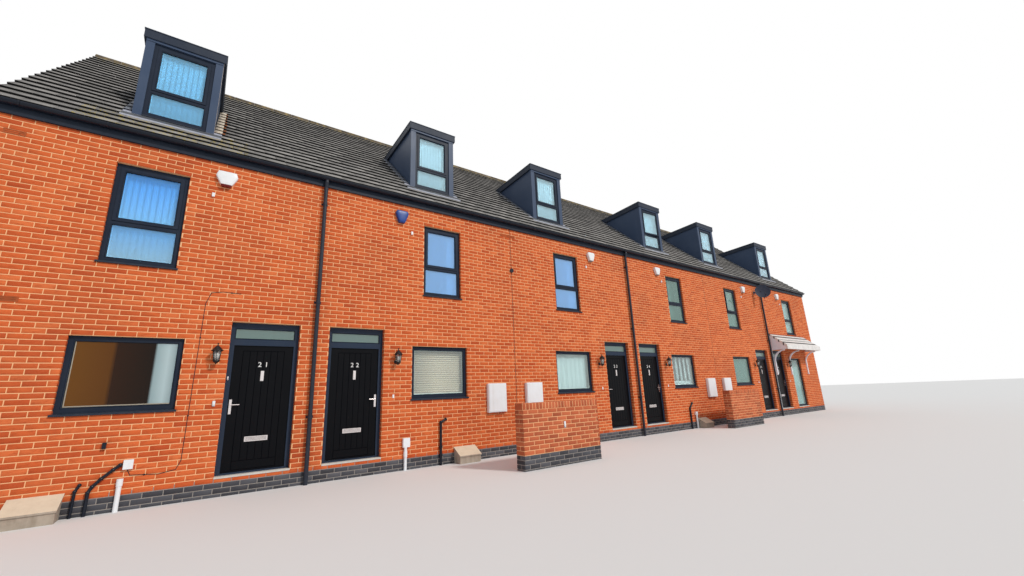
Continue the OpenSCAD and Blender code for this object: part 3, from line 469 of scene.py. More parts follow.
bedding = dress(material("ridge_bedding", (0.36, 0.33, 0.28), 0.95, gloss=0.15), "ridge")
bump(noise(bedding, 50.0), 0.6, 0.003)
ridge_tile = material("ridge_tile", (0.16, 0.13, 0.1), 0.9, gloss=0.15)
mossy = noise(ridge_tile, 9.0, 6.0, 0.7)
clay = ramp(tone_of(ridge_tile)[0], [(0.0, (0.085, 0.07, 0.055)), (1.0, (0.17, 0.14, 0.11))])
paint(mixed(fade(mossy, 0.48, 0.66), clay, (0.34, 0.25, 0.1)))
bump(mossy, 0.4, 0.003)
count, gap, ridge_axis = 58, 0.006, 9.2008
step = (row_x1 + verge - row_x0) / count
starts = row_x0 + step * np.arange(count)
turn = np.radians(np.linspace(-96, 96, 15))
arc = np.stack([np.sin(turn), np.cos(turn)], 1)
lift = rng.uniform(0.0, 0.0025, count)
shells = []
for radius in (0.1215, 0.114):
    for x in (starts + gap, starts + (step - gap)):
        ring = arc[None] * (radius + lift[:, None, None]) + np.array([0.0, ridge_axis])
        shells.append(np.concatenate([np.broadcast_to(x[:, None, None], (count, 15, 1)), ring], 2))
k = np.arange(14)
feet = np.array([[0, 15, 45, 30], [29, 14, 44, 59]])
around = np.concatenate([strips(k, 15 + k), strips(30 + k, k), strips(15 + k, 45 + k)])
quads = repeated(np.concatenate([around[:, ::-1], feet]), 60, count)
tone = np.repeat(rng.random((count, 3)), 60, axis=0)
quad_piece("ridge_tiles", [(np.stack(shells, 1).reshape(-1, 3), quads, tone)], ridge_tile)


# Plinth: dense blue-black engineering brick up from the ground, under one course of red
# brick that the walls begin on. It runs round the whole row, and stops at the doorways.
blue_brick = material("blue_brick", (0.05, 0.055, 0.07), 0.6, gloss=0.25)
dark = ramp(tone_of(blue_brick)[0], [(0.0, (0.022, 0.025, 0.034)), (0.6, (0.05, 0.056, 0.072)),
    (1.0, (0.095, 0.098, 0.115))])
bloom = noise(blue_brick, 11.0, 5.0, 0.7)
paint(mixed(times(bloom, 0.3), dark, (0.16, 0.14, 0.14)))
bump(bloom, 0.4, 0.0015)
dress(mortar, "plinth")
blue_top = 0.195
door_gaps = [h for h in front_holes if h[1] < 0.3]
blue, red = [], []
end_datum = 0.03
for side, span, gaps, datum in ((front_side, long_span, door_gaps, 0.0), (rear_side, long_span, [], 0.06),
        (right_side, deep_span, [], end_datum), (left_side, deep_span, [], end_datum)):
    blue.append(brick_faces(bond(*span, 0.0, blue_top, bed, datum, gaps), *side))
    red.append(brick_faces(bond(*span, blue_top, bed, bed, datum, gaps), *side))
quad_piece("plinth_blue_bricks", blue, blue_brick)
quad_piece("plinth_red_bricks", red, red_brick)


# Gable bricks: the far end wall carries on the coursing up to the roof. The near end is
# a party line with the next house, so its wall is laid plain in the same way.
def under_roof(rects):
    """Cuts the bricks of a gable along the roof line: each one's top is lowered to the
    line at its middle, and bricks wholly above it are dropped."""
    line = wall_head + math.tan(slope) * (wall_y - np.abs((rects[:, 0] + rects[:, 2]) / 2))
    rects = rects.copy()
    rects[:, 3] = np.minimum(rects[:, 3], line)
    return rects[rects[:, 3] - rects[:, 1] > 0.012]


gable_top = 9.1
rects = under_roof(bond(*deep_span, bed, gable_top, bed, end_datum))
gable = [brick_faces(rects, *side) for side in (right_side, left_side)]
quad_piece("gable_bricks", gable, red_brick)


# Reveals: the bricks that line the sides of each opening, back to its frame. They are the
# same red bricks, returned round the corner in the same courses.
door_back, window_back = 0.095, 0.055
lining = []
for holes, y, inward in ((front_holes, -wall_y, 1), (rear_holes, wall_y, -1)):
    for a, z0, b, z1 in holes:
        back = door_back if z1 == doorway[3] else window_back
        rects = bond(0.0, back, max(z0, bed + joint), z1, bed, 0.0)
        lining.append(brick_faces(rects, (a, y, 0), (0, inward, 0), (1, 0, 0)))
        lining.append(brick_faces(rects, (b, y, 0), (0, inward, 0), (-1, 0, 0)))
quad_piece("reveal_bricks", lining, red_brick)


# Screen walls: one brick thick, in a duller red than the houses, with blue base courses
# and a coping of bricks on edge, 112 mm high and 75 mm apart.
dull_brick = material("screen_brick", (0.48, 0.11, 0.05), 0.88, gloss=0.1)
dull = ramp(tone_of(dull_brick)[0], [(0.0, (0.36, 0.07, 0.03)), (0.5, (0.54, 0.115, 0.045)),
    (1.0, (0.68, 0.17, 0.07))])
film = noise(dull_brick, 7.0, 6.0, 0.7)
paint(mixed(times(film, 0.5), dull, (0.5, 0.19, 0.105)))
bump(film, 0.5, 0.002)
base_top, coping_low, coping_top = 0.25, 1.0, 1.112
screen_x0, screen_x1, screen_thick = 3.0595, 4.9095, 0.215
red, blue = [], []
for k, y0 in ((0, -6.0), (1, -5.12)):
    x0, x1, y1 = k * pair_w + screen_x0, k * pair_w + screen_x1, y0 + screen_thick
    wide, thick = (x0 - proud, x1 + proud), (y0 - proud, y1 + proud)
    for side, span, datum in zip(four_sides(x0, x1, y0, y1), (wide, wide, thick, thick), (x0, x0, y0, y0)):
        red.append(brick_faces(bond(*span, base_top, coping_low, base_top, datum), *side))
        blue.append(brick_faces(bond(*span, 0.0, base_top, base_top, datum), *side))
    edge = x0 + course * np.arange(-0.05, 24.6)
    low, high = np.full(len(edge), coping_low + 0.003), np.full(len(edge), coping_top - 0.002)
    fronts = np.stack([edge + 0.005, low, np.minimum(edge + 0.07, wide[1]), high], 1)
    tops = fronts.copy()
    tops[:, 1], tops[:, 3] = y0 - 0.002, y1 + 0.002
    ends = np.array([[y0 - 0.002, coping_low + 0.003, y1 + 0.002, coping_top - 0.002]])
    front, rear, left, right = four_sides(*wide, *thick)
    red += [brick_faces(fronts, *front), brick_faces(fronts, *rear),
        brick_faces(tops, (0, 0, coping_top), (1, 0, 0), (0, 0, 1), up=(0, 1, 0)), brick_faces(ends, *left),
        brick_faces(ends, *right)]
quad_piece("screen_red_bricks", red, dull_brick)
quad_piece("screen_blue_bricks", blue, blue_brick)


# Inner parts seen through the glass: blockwork party walls, plastered, and boarded
# floors with a joint every 140 mm.
weathering = bpy.data.node_groups.new("weathering", "ShaderNodeTree")
for way, labels in (("INPUT", ("Colour", "Dirt", "Scale", "Amount", "Streaks")),
        ("OUTPUT", ("Colour", "Mask", "Height"))):
    for label in labels:
        kind = "NodeSocketColor" if label in ("Colour", "Dirt") else "NodeSocketFloat"
        weathering.interface.new_socket(label, in_out=way, socket_type=kind)
given = weathering.nodes.new("NodeGroupInput").outputs
result = weathering.nodes.new("NodeGroupOutput")
patches = noise(weathering, given["Scale"], 6.0, 0.65)
runs = noise(weathering, 1.6, squeeze=(9.0, 9.0, 0.55))
dusty = times(fade(patches, 0.42, 0.72), given["Amount"])
mask = calc("ADD", dusty, times(fade(runs, 0.52, 0.8), given["Streaks"]), clamp=True)
plug(result, "Colour", mixed(mask, given["Colour"], given["Dirt"]))
plug(result, "Mask", mask)
plug(result, "Height", calc("ADD", noise(weathering, 130.0, 3.0), times(patches, 0.6)))


def weathered(name, colour, dirt, roughness, scale, amount, streaks, gloss=0.5, metallic=0.0, height=0.25):
    """A material whose colour is dulled in patches and in streaks down the face, and whose
    gloss and surface vary with them, through the weathering group."""
    m = material(name, colour, roughness, gloss, metallic)
    feeds = enumerate((colour, dirt, scale, amount, streaks))
    n = node(m, "Group", feeds, node_tree=weathering, name="worn")
    paint(n.outputs["Colour"])
    paint(calc("ADD", times(n.outputs["Mask"], 0.25), roughness, clamp=True), "Roughness")
    bump(n.outputs["Height"], height, 0.0006)
    return m


def worn_colour(m, socket="Colour"):
    """What the weathering group gives in a material: its colour, or its mask of dirt."""
    return m.node_tree.nodes["worn"].outputs[socket]


dress(weathered("plaster", (0.62, 0.59, 0.54), (0.5, 0.46, 0.4), 0.9, 2.0, 0.3, 0.0), "party_walls")
boards = weathered("floor_boards", (0.36, 0.24, 0.14), (0.22, 0.14, 0.08), 0.6, 4.0, 0.5, 0.0)
board_width, joint_share = 0.14, 0.03
lines = below(calc("FRACT", calc("DIVIDE", axes(boards)[0], board_width)), joint_share)
paint(mixed(lines, worn_colour(boards), (0.05, 0.03, 0.02)))
dress(boards, "floors")


# Movement joints: a line of dark sealant in each gap between the pairs of houses, run in
# from outside and slightly full in the middle.
def grid(rows, cols):
    """The quads of a sheet of points, rows by cols of them."""
    q = (cols * np.arange(rows - 1)[:, None] + np.arange(cols - 1)).ravel()
    return strips(q, q + cols)


sealant = weathered("sealant", (0.055, 0.04, 0.034), (0.13, 0.09, 0.07), 0.8, 8.0, 0.4, 0.2)
z = np.linspace(0.272, 5.27, 60)[:, None]
across, outwards = np.array([-0.0065, -0.003, 0.003, 0.0065]), np.array([0.0, -0.003, -0.003, 0.0])
seams = [(at_points(x + across, outwards - 4.0985, z), grid(60, 4), None) for x in between]
quad_piece("joint_sealant", seams, sealant)


# Eaves: anthracite fascia boards, black half-round gutters on brackets every 0.9 m, and
# black downpipes with sockets. All are moulded plastic, dusty on top.
dress(weathered("fascia_plastic", (0.02, 0.028, 0.044), (0.034, 0.041, 0.056), 0.42, 3.0, 0.3, 0.3, 0.12),
    "fascias")
black_plastic = weathered("black_plastic", (0.008, 0.012, 0.022), (0.022, 0.026, 0.036), 0.28, 5.0, 0.3, 0.25,
    0.25)
dress(black_plastic, "gutters", "service_pipes")
dress(weathered("downpipe_plastic", (0.016, 0.021, 0.034), (0.04, 0.046, 0.062), 0.3, 5.0, 0.3, 0.4, 0.3),
    "downpipes")
gutter_y, gutter_z, strap_radius, strap_thick, strap_width = 4.196, 5.447, 0.0575, 0.004, 0.022


def closed(rows, steps):
    """The quads round a stack of closed rings, and across the first and the last of them."""
    i, j = np.meshgrid(np.arange(rows - 1) * steps, np.arange(steps), indexing="ij")
    j2 = (j + 1) % steps
    side = np.stack([i + j, i + j2, i + j2 + steps, i + j + steps], -1).reshape(-1, 4)
    k = np.arange(steps // 2 - 1)
    foot = np.stack([steps - 1 - k, steps - 2 - k, k + 1, k], 1)
    return np.concatenate([side, foot, foot[:, ::-1] + (rows - 1) * steps])


def straps(centre_y, xs, turn0, turn1, steps=14):
    """Flat straps bent round a gutter: a section of four corners, with the strap's width
    along X and its thickness outwards, follows an arc between two angles, at each x."""
    a = np.radians(np.linspace(turn0, turn1, steps))[:, None]
    r = strap_radius + strap_thick * np.array([0, 1, 1, 0])
    x = xs[:, None, None] + strap_width / 2 * np.array([-1, -1, 1, 1])
    points = at_points(x, centre_y + np.cos(a) * r, gutter_z + np.sin(a) * r)
    return points, repeated(closed(steps, 4), 4 * steps, len(xs)), None


brackets = np.arange(row_x0 + 0.35, row_x1, 0.9)
quad_piece("gutter_brackets", [straps(-gutter_y, brackets, 182, 362), straps(gutter_y, brackets, 178, 358)],
    black_plastic)


# Dormers: folded anthracite sheet over timber, with a flat cap, and grey lead round the
# foot. The sheet is blue-grey, with faint dents and dust, and the first one's right cheek
# is painted pale as painted sunlight.
sheet = weathered("dormer_sheet", (0.044, 0.071, 0.13), (0.074, 0.103, 0.165), 0.38, 1.4, 0.45, 0.25, 0.2)
x = axes(sheet)[0]
# Painted sunlight: a pale band on the first dormer's right cheek.
bleach_and_painted_sun = times(above(x, dormer_x[0] + 0.5675), below(x, dormer_x[0] + 0.7))
paint(mixed(bleach_and_painted_sun, worn_colour(sheet), (0.58, 0.5, 0.46)))
dress(sheet, "dormer_shells")
dress(weathered("dormer_cap_sheet", (0.024, 0.034, 0.056), (0.06, 0.068, 0.085), 0.45, 3.0, 0.4, 0.3, 0.15),
    "dormer_roofs")
lead = weathered("lead_sheet", (0.36, 0.38, 0.46), (0.56, 0.57, 0.62), 0.6, 9.0, 0.6, 0.3, 0.3)
y = axes(lead)[1]
apron = times(below(y, -3.503), above(y, -3.625))
paint(mixed(apron, worn_colour(lead), (0.075, 0.08, 0.092)))
dress(lead, "dormer_flashings")


# Lead soakers: one short pale sheet to each course of tiles beside a cheek, lapped like
# the tiles. Those right of the first dormer have gone nearly white, with rusty ends.
pale_lead = weathered("pale_lead", (0.16, 0.18, 0.22), (0.34, 0.35, 0.37), 0.6, 12.0, 0.5, 0.2, 0.3)
bleach_and_painted_sun = mixed(worn_colour(pale_lead, "Mask"), (0.66, 0.58, 0.47), (0.45, 0.36, 0.27))
paint(mixed(tone_of(pale_lead)[0], worn_colour(pale_lead), bleach_and_painted_sun))
rust = weathered("rusty_tile_edge", (0.34, 0.12, 0.045), (0.14, 0.08, 0.05), 0.9, 22.0, 0.7, 0.0, 0.15)
first_course, end_course, sheet_thick = 4, 12, 0.004


def lapped(x0, x1, s0, s1, low, high, tone=None):
    """Flat strips on the slope from s0 to s1, each a low box: at its foot the top lies
    high above the slab, and it falls to low at its head."""
    s = np.stack([s0, s0, s1, s1], 1)
    y, z = on_slope(s, np.broadcast_to([high, high - sheet_thick, low - sheet_thick, low], s.shape))
    points = at_points(np.stack([x0, x1], 1)[..., None], y[:, None], z[:, None])
    return points, repeated(box_quads, 8, len(s0)), None if tone is None else np.full((len(points), 3), tone)


foot = np.arange(first_course, end_course) * tile_gauge - overhang
same = np.ones(len(foot))
soakers = []
for n, x in enumerate(dormer_x, 1):
    for a, b, tone in ((x - 0.69, x - 0.571, 0.0), (x + 0.571, x + 0.69, 1.0 if n == 1 else 0.0)):
        soakers.append(lapped(a * same, b * same, foot, foot + tile_gauge + 0.02, 0.0345, 0.054, tone))
quad_piece("dormer_soakers", soakers, pale_lead)
x = dormer_x[0] + 0.735 + rng.uniform(-0.02, 0.015, len(foot))
edges = lapped((dormer_x[0] + cheek_half) * same, x, foot, foot + 0.11, 0.045, 0.051)
quad_piece("rusty_tile_edges", [edges], rust)


# Window frames: anthracite plastic profiles with a fine grain, and sloping sills that
# catch dust. A sloped bead and a black gasket hold each pane from outside, and a white
# bead from inside, which shows through the edge of the glass. All are mitred.
frame_plastic = weathered("frame_plastic", (0.017, 0.025, 0.044), (0.032, 0.043, 0.064), 0.36, 3.0, 0.35,
    0.25, 0.1)
dress(frame_plastic, "window_frames", "casements")
dress(weathered("door_frame", (0.026, 0.04, 0.07), (0.04, 0.052, 0.078), 0.36, 3.0, 0.35, 0.25, 0.1),
    "door_frames")
dress(weathered("sill_plastic", (0.022, 0.031, 0.05), (0.06, 0.065, 0.075), 0.42, 7.0, 0.5, 0.2, 0.15),
    "window_sills")
dress(weathered("hinge_steel", (0.42, 0.42, 0.43), (0.2, 0.2, 0.2), 0.3, 20.0, 0.3, 0.0, metallic=1.0),
    "hinges")


def mitred(box, face, section):
    """A closed ring with mitred corners inside a rectangle (x0, z0, x1, z1): each (inset,
    depth) of its section, in millimetres, is four corners moved in and back from the face."""
    x0, z0, x1, z1 = box
    section = np.array(section) / 1000
    t = section[:, 0, None]
    x = np.hstack([x0 + t, x1 - t, x1 - t, x0 + t])
    z = np.hstack([z0 + t, z0 + t, z1 - t, z1 - t])
    u, k = np.meshgrid(np.arange(len(section)), np.arange(4), indexing="ij")
    v, j = (u + 1) % len(section), (k + 1) % 4
    quads = np.stack([4 * u + k, 4 * u + j, 4 * v + j, 4 * v + k], -1).reshape(-1, 4)
    return at_points(x, face + section[:, 1, None], z), quads


def set_in(points, faces, n, hinge, degrees, rear):
    """Moves points drawn from a downpipe at x = 0 to house n: turned about an upright hinge,
    mirrored in x for the odd houses and in y for the rear, with the faces kept outwards."""
    a = -math.radians(degrees)
    x, y = points[:, 0] - hinge[0], points[:, 1] - hinge[1]
    x, y = hinge[0] + x * math.cos(a) - y * math.sin(a), hinge[1] + x * math.sin(a) + y * math.cos(a)
    side = -1 if n % 2 else 1
    moved = np.stack([((n - 1) // 2) * pair_w + side * x, -y if rear else y, points[:, 2]], 1)
    return moved, faces if side * (-1 if rear else 1) > 0 else faces[:, ::-1], None


window_face, dormer_face, door_face, sash_turn = -4.045, -3.475, -4.005, 4
panes = []
for n, c in enumerate(dormer_at, 1):
    for rear in (False, True):
        if n < 6 or rear:
            panes.append((n, rear, (1.864, 1.333, 3.0, 2.237), window_face, False, 0))
        panes.append((n, rear, (2.096, 3.433, 2.872, 3.96), window_face, False, 0))
        ajar = sash_turn if n == 5 and not rear else 0
        panes.append((n, rear, (2.14, 4.048, 2.828, 4.823), window_face, True, ajar))
    panes.append((n, False, (c - 0.388, 6.211, c + 0.388, 6.621), dormer_face, False, 0))
    ajar = sash_turn if n == 4 else 0
    panes.append((n, False, (c - 0.344, 6.709, c + 0.344, 7.505), dormer_face, True, ajar))
    panes.append((n, False, (0.296, 2.325, 1.18, 2.51), door_face, False, 0))
panes.append((6, False, (1.864, 0.336, 2.752, 2.237), window_face, False, 0))
fixed_bead = [(0.3, 1), (14.5, 7.2), (14.5, 8.5), (0.3, 8.5)]
sash_bead = [(0.3, -10.5), (14, -1), (14, 19.5), (0.3, 19.5)]
seal = [(13.6, 10), (19, 16), (19, 19.6), (13.6, 19.6)]
room_bead = [(0.3, 44.5), (32, 44.5), (32, 50), (0.3, 64)]
rubber = weathered("gasket_rubber", (0.006, 0.006, 0.007), (0.02, 0.02, 0.02), 0.6, 20.0, 0.3, 0.0, 0.1)
room_white = weathered("room_white", (0.8, 0.81, 0.8), (0.62, 0.62, 0.6), 0.4, 6.0, 0.2, 0.0, 0.3)
for name, m, on_frame, on_sash in (("glazing_beads", frame_plastic, fixed_bead, sash_bead),
        ("gaskets", rubber, seal, seal), ("room_beads", room_white, room_bead, room_bead)):
    rings = []
    for n, rear, box, face, sash, degrees in panes:
        ring = mitred(box, face, on_sash if sash else on_frame)
        rings.append(set_in(*ring, n, (box[0] - 0.042, face - 0.012), degrees, rear))
    quad_piece(name, rings, m)


# Panes: double glazing. Upstairs it carries the blue of a coated glass and a painted sky
# reflection, paler at the foot of each pane. Downstairs it is nearly clear, and the first
# house's big pane is painted brown with the light and shade of a dim room behind it.
def glass(name, colour, transmission, roughness=0.02, clear=(0.8, 0.9, 0.95), gloss=0.3):
    """Tinted sheet glass with faint waviness, which lets the lamps shine through it."""
    m = material(name, colour, roughness, gloss)
    shader = m.node_tree.nodes["Principled BSDF"]
    plug(shader, "Transmission Weight", transmission)
    plug(shader, "IOR", 1.5)
    bump(noise(m, 0.9, 2.0), 0.02, 0.004)
    through = node(m, "BsdfTransparent", [("Color", clear)])
    mix_shaders(node(m, "LightPath").outputs["Is Shadow Ray"], shader, through, "Material Output")
    return m


coated = glass("coated_glass", (0.2, 0.6, 1.0), 0.62)
# Painted sky reflection: by height, each upstairs pane is pale at its foot and a deeper blue at its head.
height = calc("DIVIDE", calc("SUBTRACT", axes(coated)[2], 3.43), 1.4)
paint(ramp(height, [(0.0, (0.5, 0.8, 1.0)), (0.37, (0.22, 0.57, 0.96)), (0.45, (0.32, 0.68, 1.0)),
    (1.0, (0.1, 0.44, 0.95))]))
dormer_glass = glass("dormer_glass", (0.3, 0.66, 0.92), 0.66)
pale = glass("pale_glass", (0.64, 0.88, 0.98), 0.68)
sky_blue = glass("sky_blue_glass", (0.36, 0.64, 1.0), 0.5)
clear = glass("clear_glass", (0.72, 0.82, 0.81), 0.88)
fanlight = glass("fanlight_glass", (0.25, 0.36, 0.34), 0.45)
green = glass("green_glass", (0.26, 0.42, 0.38), 0.6)
teal = glass("teal_glass", (0.46, 0.64, 0.62), 0.8)
brown = glass("brown_glass", (0.1, 0.04, 0.01), 0.3, clear=(0.5, 0.35, 0.2), gloss=0.03)
x, y, z = axes(brown)
# The brown pane's colour is a painted view of the room behind it, across the pane: an ochre wall, a dark band
# of painted shade, and a pale blind.
pane_left, pane_width, lit_foot, lit_side = -3.0, 1.136, 1.366, -2.969
across = calc("DIVIDE", calc("ADD", x, -pane_left), pane_width)
painted_room_view = ramp(across, [(0.0, (0.2, 0.078, 0.008)), (0.36, (0.15, 0.054, 0.006)),
    (0.4, (0.036, 0.012, 0.003)), (0.76, (0.014, 0.006, 0.002)), (0.785, (0.38, 0.52, 0.56)),
    (0.9, (0.56, 0.72, 0.77)), (1.0, (0.34, 0.46, 0.5))])
# Painted light: a pale strip along the pane's foot and left edge.
lit_edges = calc("ADD", below(z, lit_foot), below(x, lit_side), clamp=True)
paint(mixed(lit_edges, painted_room_view, (0.5, 0.46, 0.38)))
glasses = [coated, clear, brown, fanlight, green, dormer_glass, pale, teal, sky_blue]
pane_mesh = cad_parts["window_glass"].data
pane_mesh.materials.clear()
for m in glasses:
    pane_mesh.materials.append(m)
centres = np.empty(len(pane_mesh.polygons) * 3)
pane_mesh.polygons.foreach_get("center", centres)
x, y, z = centres.reshape(-1, 3).T
front = y < 0
kind = np.full(len(x), glasses.index(clear), np.int32)
for where, m in ((z > 2.9, coated), (z > 5.5, pale), ((z > 5.5) & (x < 0), dormer_glass),
        (front & (z > 2.9) & (z < 5.2) & (x > 0) & (x < 9.5), sky_blue),
        (front & (z > 2.9) & (z < 5.2) & (x > 9.5) & (x < 16.5), green),
        (front & (z > 0.2) & (z < 5.2) & (x > 18.0), teal),
        (front & (z < 2.3) & (x > 14.0) & (x < 16.0), green), (front & (z < 2.4) & (x < -1.5), brown),
        ((z > 2.32) & (z < 2.6), fanlight)):
    kind[where] = glasses.index(m)
pane_mesh.polygons.foreach_set("material_index", kind)


# Vertical blinds: stiff white plastic louvres 89 mm wide, hung nearly edge to edge and
# turned a little, behind the first house's windows and in every dormer. One edge of each
# louvre is painted in shade.
def louvres(x0, x1, y, z0, z1, turn, pitch=0.077, width=0.08, thick=0.0012):
    """Slats as thin upright boxes: each is centred at x0 + pitch * k, turned by an angle
    about its own middle, with slightly uneven turns."""
    k = np.arange(int((x1 - x0) / pitch) + 1)
    x = x0 + pitch * (k + 0.5)
    a = np.radians(turn + rng.uniform(-4, 4, len(k)))
    c, s = np.cos(a)[:, None], np.sin(a)[:, None]
    u = np.array([-1, 1, 1, -1]) * width / 2
    v = np.array([-1, -1, 1, 1]) * thick / 2
    px, py = x[:, None] + u * c - v * s, y + u * s + v * c
    points = at_points(px[:, None], py[:, None], np.array([[z0], [z1]]))
    tone = np.repeat(rng.random((len(k), 3)), 8, axis=0)
    # The first tone marks one edge of each slat for painted shade.
    tone[:, 0] = np.tile([0, 1, 1, 0], 2 * len(k))
    return points, repeated(box_quads, 8, len(k)), tone


def paint_edge_shade(m, stops):
    """Paints shade along one edge of each slat: darkens a blind's weathered colour by a ramp over its first
    tone.
    """
    paint(mixed(1.0, worn_colour(m), ramp(tone_of(m)[0], stops), "MULTIPLY"))


blind_white = weathered("blind_louvre", (0.82, 0.84, 0.85), (0.66, 0.68, 0.7), 0.7, 5.0, 0.2, 0.1, 0.2)
paint_edge_shade(blind_white, [(0.0, (0.42, 0.46, 0.48)), (0.1, (0.5, 0.54, 0.56)), (0.2, (1, 1, 1)),
    (1.0, (1, 1, 1))])
behind, room_gap = -3.94, 0.06
a, b = mirrored(1, *upper_window[:2])
sets = [louvres(a + room_gap, b - room_gap, behind, 3.42, 4.86, 12)]
sets += [louvres(x - 0.4, x + 0.4, -3.38, 6.18, 7.54, 12) for x in dormer_x]
a, b = mirrored(1, *lower_window[:2])
sets.append(louvres(b - 0.31, b - room_gap, behind, 1.31, 2.25, 52, pitch=0.036))
quad_piece("vertical_blinds", sets, blind_white)


# Venetian blind: beige slats 50 mm deep, tilted shut, behind the second house's lower
# window. Each slat is slightly crowned and laps the one below, and its edge under the one
# above is painted in shade.
blind_beige = weathered("venetian_slat", (0.86, 0.61, 0.45), (0.72, 0.5, 0.36), 0.5, 4.0, 0.2, 0.0, 0.2)
paint_edge_shade(blind_beige, [(0.0, (0.42, 0.39, 0.35)), (0.2, (0.56, 0.53, 0.49)), (0.42, (1, 1, 1)),
    (1.0, (1, 1, 1))])
hang_y = -3.93
a, b = mirrored(2, *lower_window[:2])
section = np.array([[-0.017, -0.02], [-0.002, 0.003], [0.016, 0.026], [0.016, 0.0245], [-0.002, 0.0015],
    [-0.017, -0.0215]])
z = np.arange(1.33, 2.25, 0.044)[:, None] + section[:, 1]
points = at_points(np.array([[a + 0.05], [b - 0.05]]), section[:, 0] + hang_y, z[:, None])
tone = rng.random((len(points), 3))
# The first tone is painted shade: darkest at the slat's high edge, under the slat above.
tone[:, 0] = np.tile([1.0, 0.5, 0.0, 0.0, 0.5, 1.0], 2 * len(z))
quads = six_sides + [[0, 5, 4, 1], [4, 3, 2, 1], [6, 7, 10, 11], [7, 8, 9, 10]]
quad_piece("venetian_blind", [(points, repeated(quads, 12, len(z)), tone)], blind_beige)


# Curtains: white voile hung in soft gathers behind the panes. Each is a sheet in sine
# folds that grow towards the hem. The fourth house's lower one is five gathered strips
# sewn to a band along the foot.
voile = material("voile", (0.6, 0.66, 0.67), 0.9, gloss=0.1)
plug(voile.node_tree.nodes["Principled BSDF"], "Sheen Weight", 0.2)
weave = node(voile, "TexWave", (("Vector", object_coords(voile)), ("Scale", 260.0)))
bump(weave.outputs["Fac"], 0.15, 0.0004)


def curtain(name, x0, x1, z0, z1, folds, depth):
    """A hung sheet: at width u and height v its depth is a sum of two sine folds that
    grow towards the hem."""
    u, v = np.linspace(0, 1, folds * 12 + 1)[:, None], np.linspace(0, 1, 25)
    large = depth * (0.5 + 0.5 * v) * np.sin(2 * math.pi * folds * u)
    small = 0.25 * depth * np.sin(2 * math.pi * (folds * 2.3 * u + 0.3)) * v
    points = at_points(x0 + (x1 - x0) * u, large + small + hang_y, z1 - (z1 - z0) * v)
    o = quad_piece(name, [(points, grid(u.size, v.size), None)], voile)


lower, upper, band_top = (1.33, 2.25), (3.42, 4.86), 1.468
hangings = [("3_lower", 1.87, 2.99, *lower, 7, 0.007), ("5_lower", 1.87, 2.99, *lower, 6, 0.016),
    ("6_lower", 1.88, 2.74, 0.35, 2.23, 5, 0.016), ("2_upper", 2.66, 2.87, *upper, 2, 0.014),
    ("3_upper", 2.1, 2.31, *upper, 2, 0.014), ("4_upper", 2.1, 2.45, *upper, 3, 0.014),
    ("5_upper", 2.1, 2.87, *upper, 4, 0.014), ("6_upper", 2.1, 2.87, *upper, 5, 0.014),
    ("4_band", 1.87, 2.99, 1.33, band_top, 5, 0.008)]
for k in range(1, 6):
    hangings.append(("4_strip_%d" % k, 1.73 + 0.225 * k, 1.83 + 0.225 * k, band_top, 2.25, 2, 0.01))
for label, x0, x1, z0, z1, folds, depth in hangings:
    curtain("curtain_" + label, *mirrored(int(label[0]), x0, x1), z0, z1, folds, depth)


# Doors: black composite leaves with a planked face and a satin skin, on pale concrete
# sills. The furniture is bright chrome: a letter plate with dark strips of painted shade in
# its grooves, a knocker, and a number.
door_skin = weathered("door_skin", (0.002, 0.0024, 0.004), (0.0038, 0.0042, 0.006), 0.3, 4.0, 0.35, 0.25)
bump(noise(door_skin, 1.0, 5.0, squeeze=(90.0, 90.0, 3.0)), 0.35, 0.0006)
groove_y = -3.9814
in_groove = above(axes(door_skin)[1], groove_y)
paint(calc("SUBTRACT", 0.1, times(in_groove, 0.1)), "Specular IOR Level")
dress(door_skin, *("door_%d" % n for n in range(1, 7)))
dress(weathered("cill_stone", (0.66, 0.63, 0.58), (0.42, 0.39, 0.35), 0.85, 9.0, 0.5, 0.3, 0.2), "thresholds")
dress(weathered("door_chrome", (0.8, 0.74, 0.73), (0.55, 0.51, 0.5), 0.25, 30.0, 0.25, 0.0, metallic=1.0,
    height=0.05), *("fittings_%d" % n for n in range(1, 7)))
groove_shade = weathered("plate_groove_shade", (0.16, 0.14, 0.14), (0.1, 0.09, 0.09), 0.5, 30.0, 0.25, 0.0, 0.3)
number_metal = weathered("number_metal", (0.8, 0.8, 0.8), (0.6, 0.6, 0.6), 0.3, 30.0, 0.2, 0.0,
    height=0.05)
plate_y, plate_z, number_y, number_z = -3.9918, 0.768, -3.9855, 1.885


def blocks(low, high):
    """A closed box for each pair of rows: its low corner and its high corner."""
    low, high = np.array(low)[:, None], np.array(high)[:, None]
    corners = np.array([[0, 0, 0], [1, 0, 0], [1, 1, 0], [0, 1, 0], [0, 0, 1], [1, 0, 1], [1, 1, 1],
        [0, 1, 1]])
    return (low + corners * (high - low)).reshape(-1, 3), repeated(box_quads, 8, len(low)), None


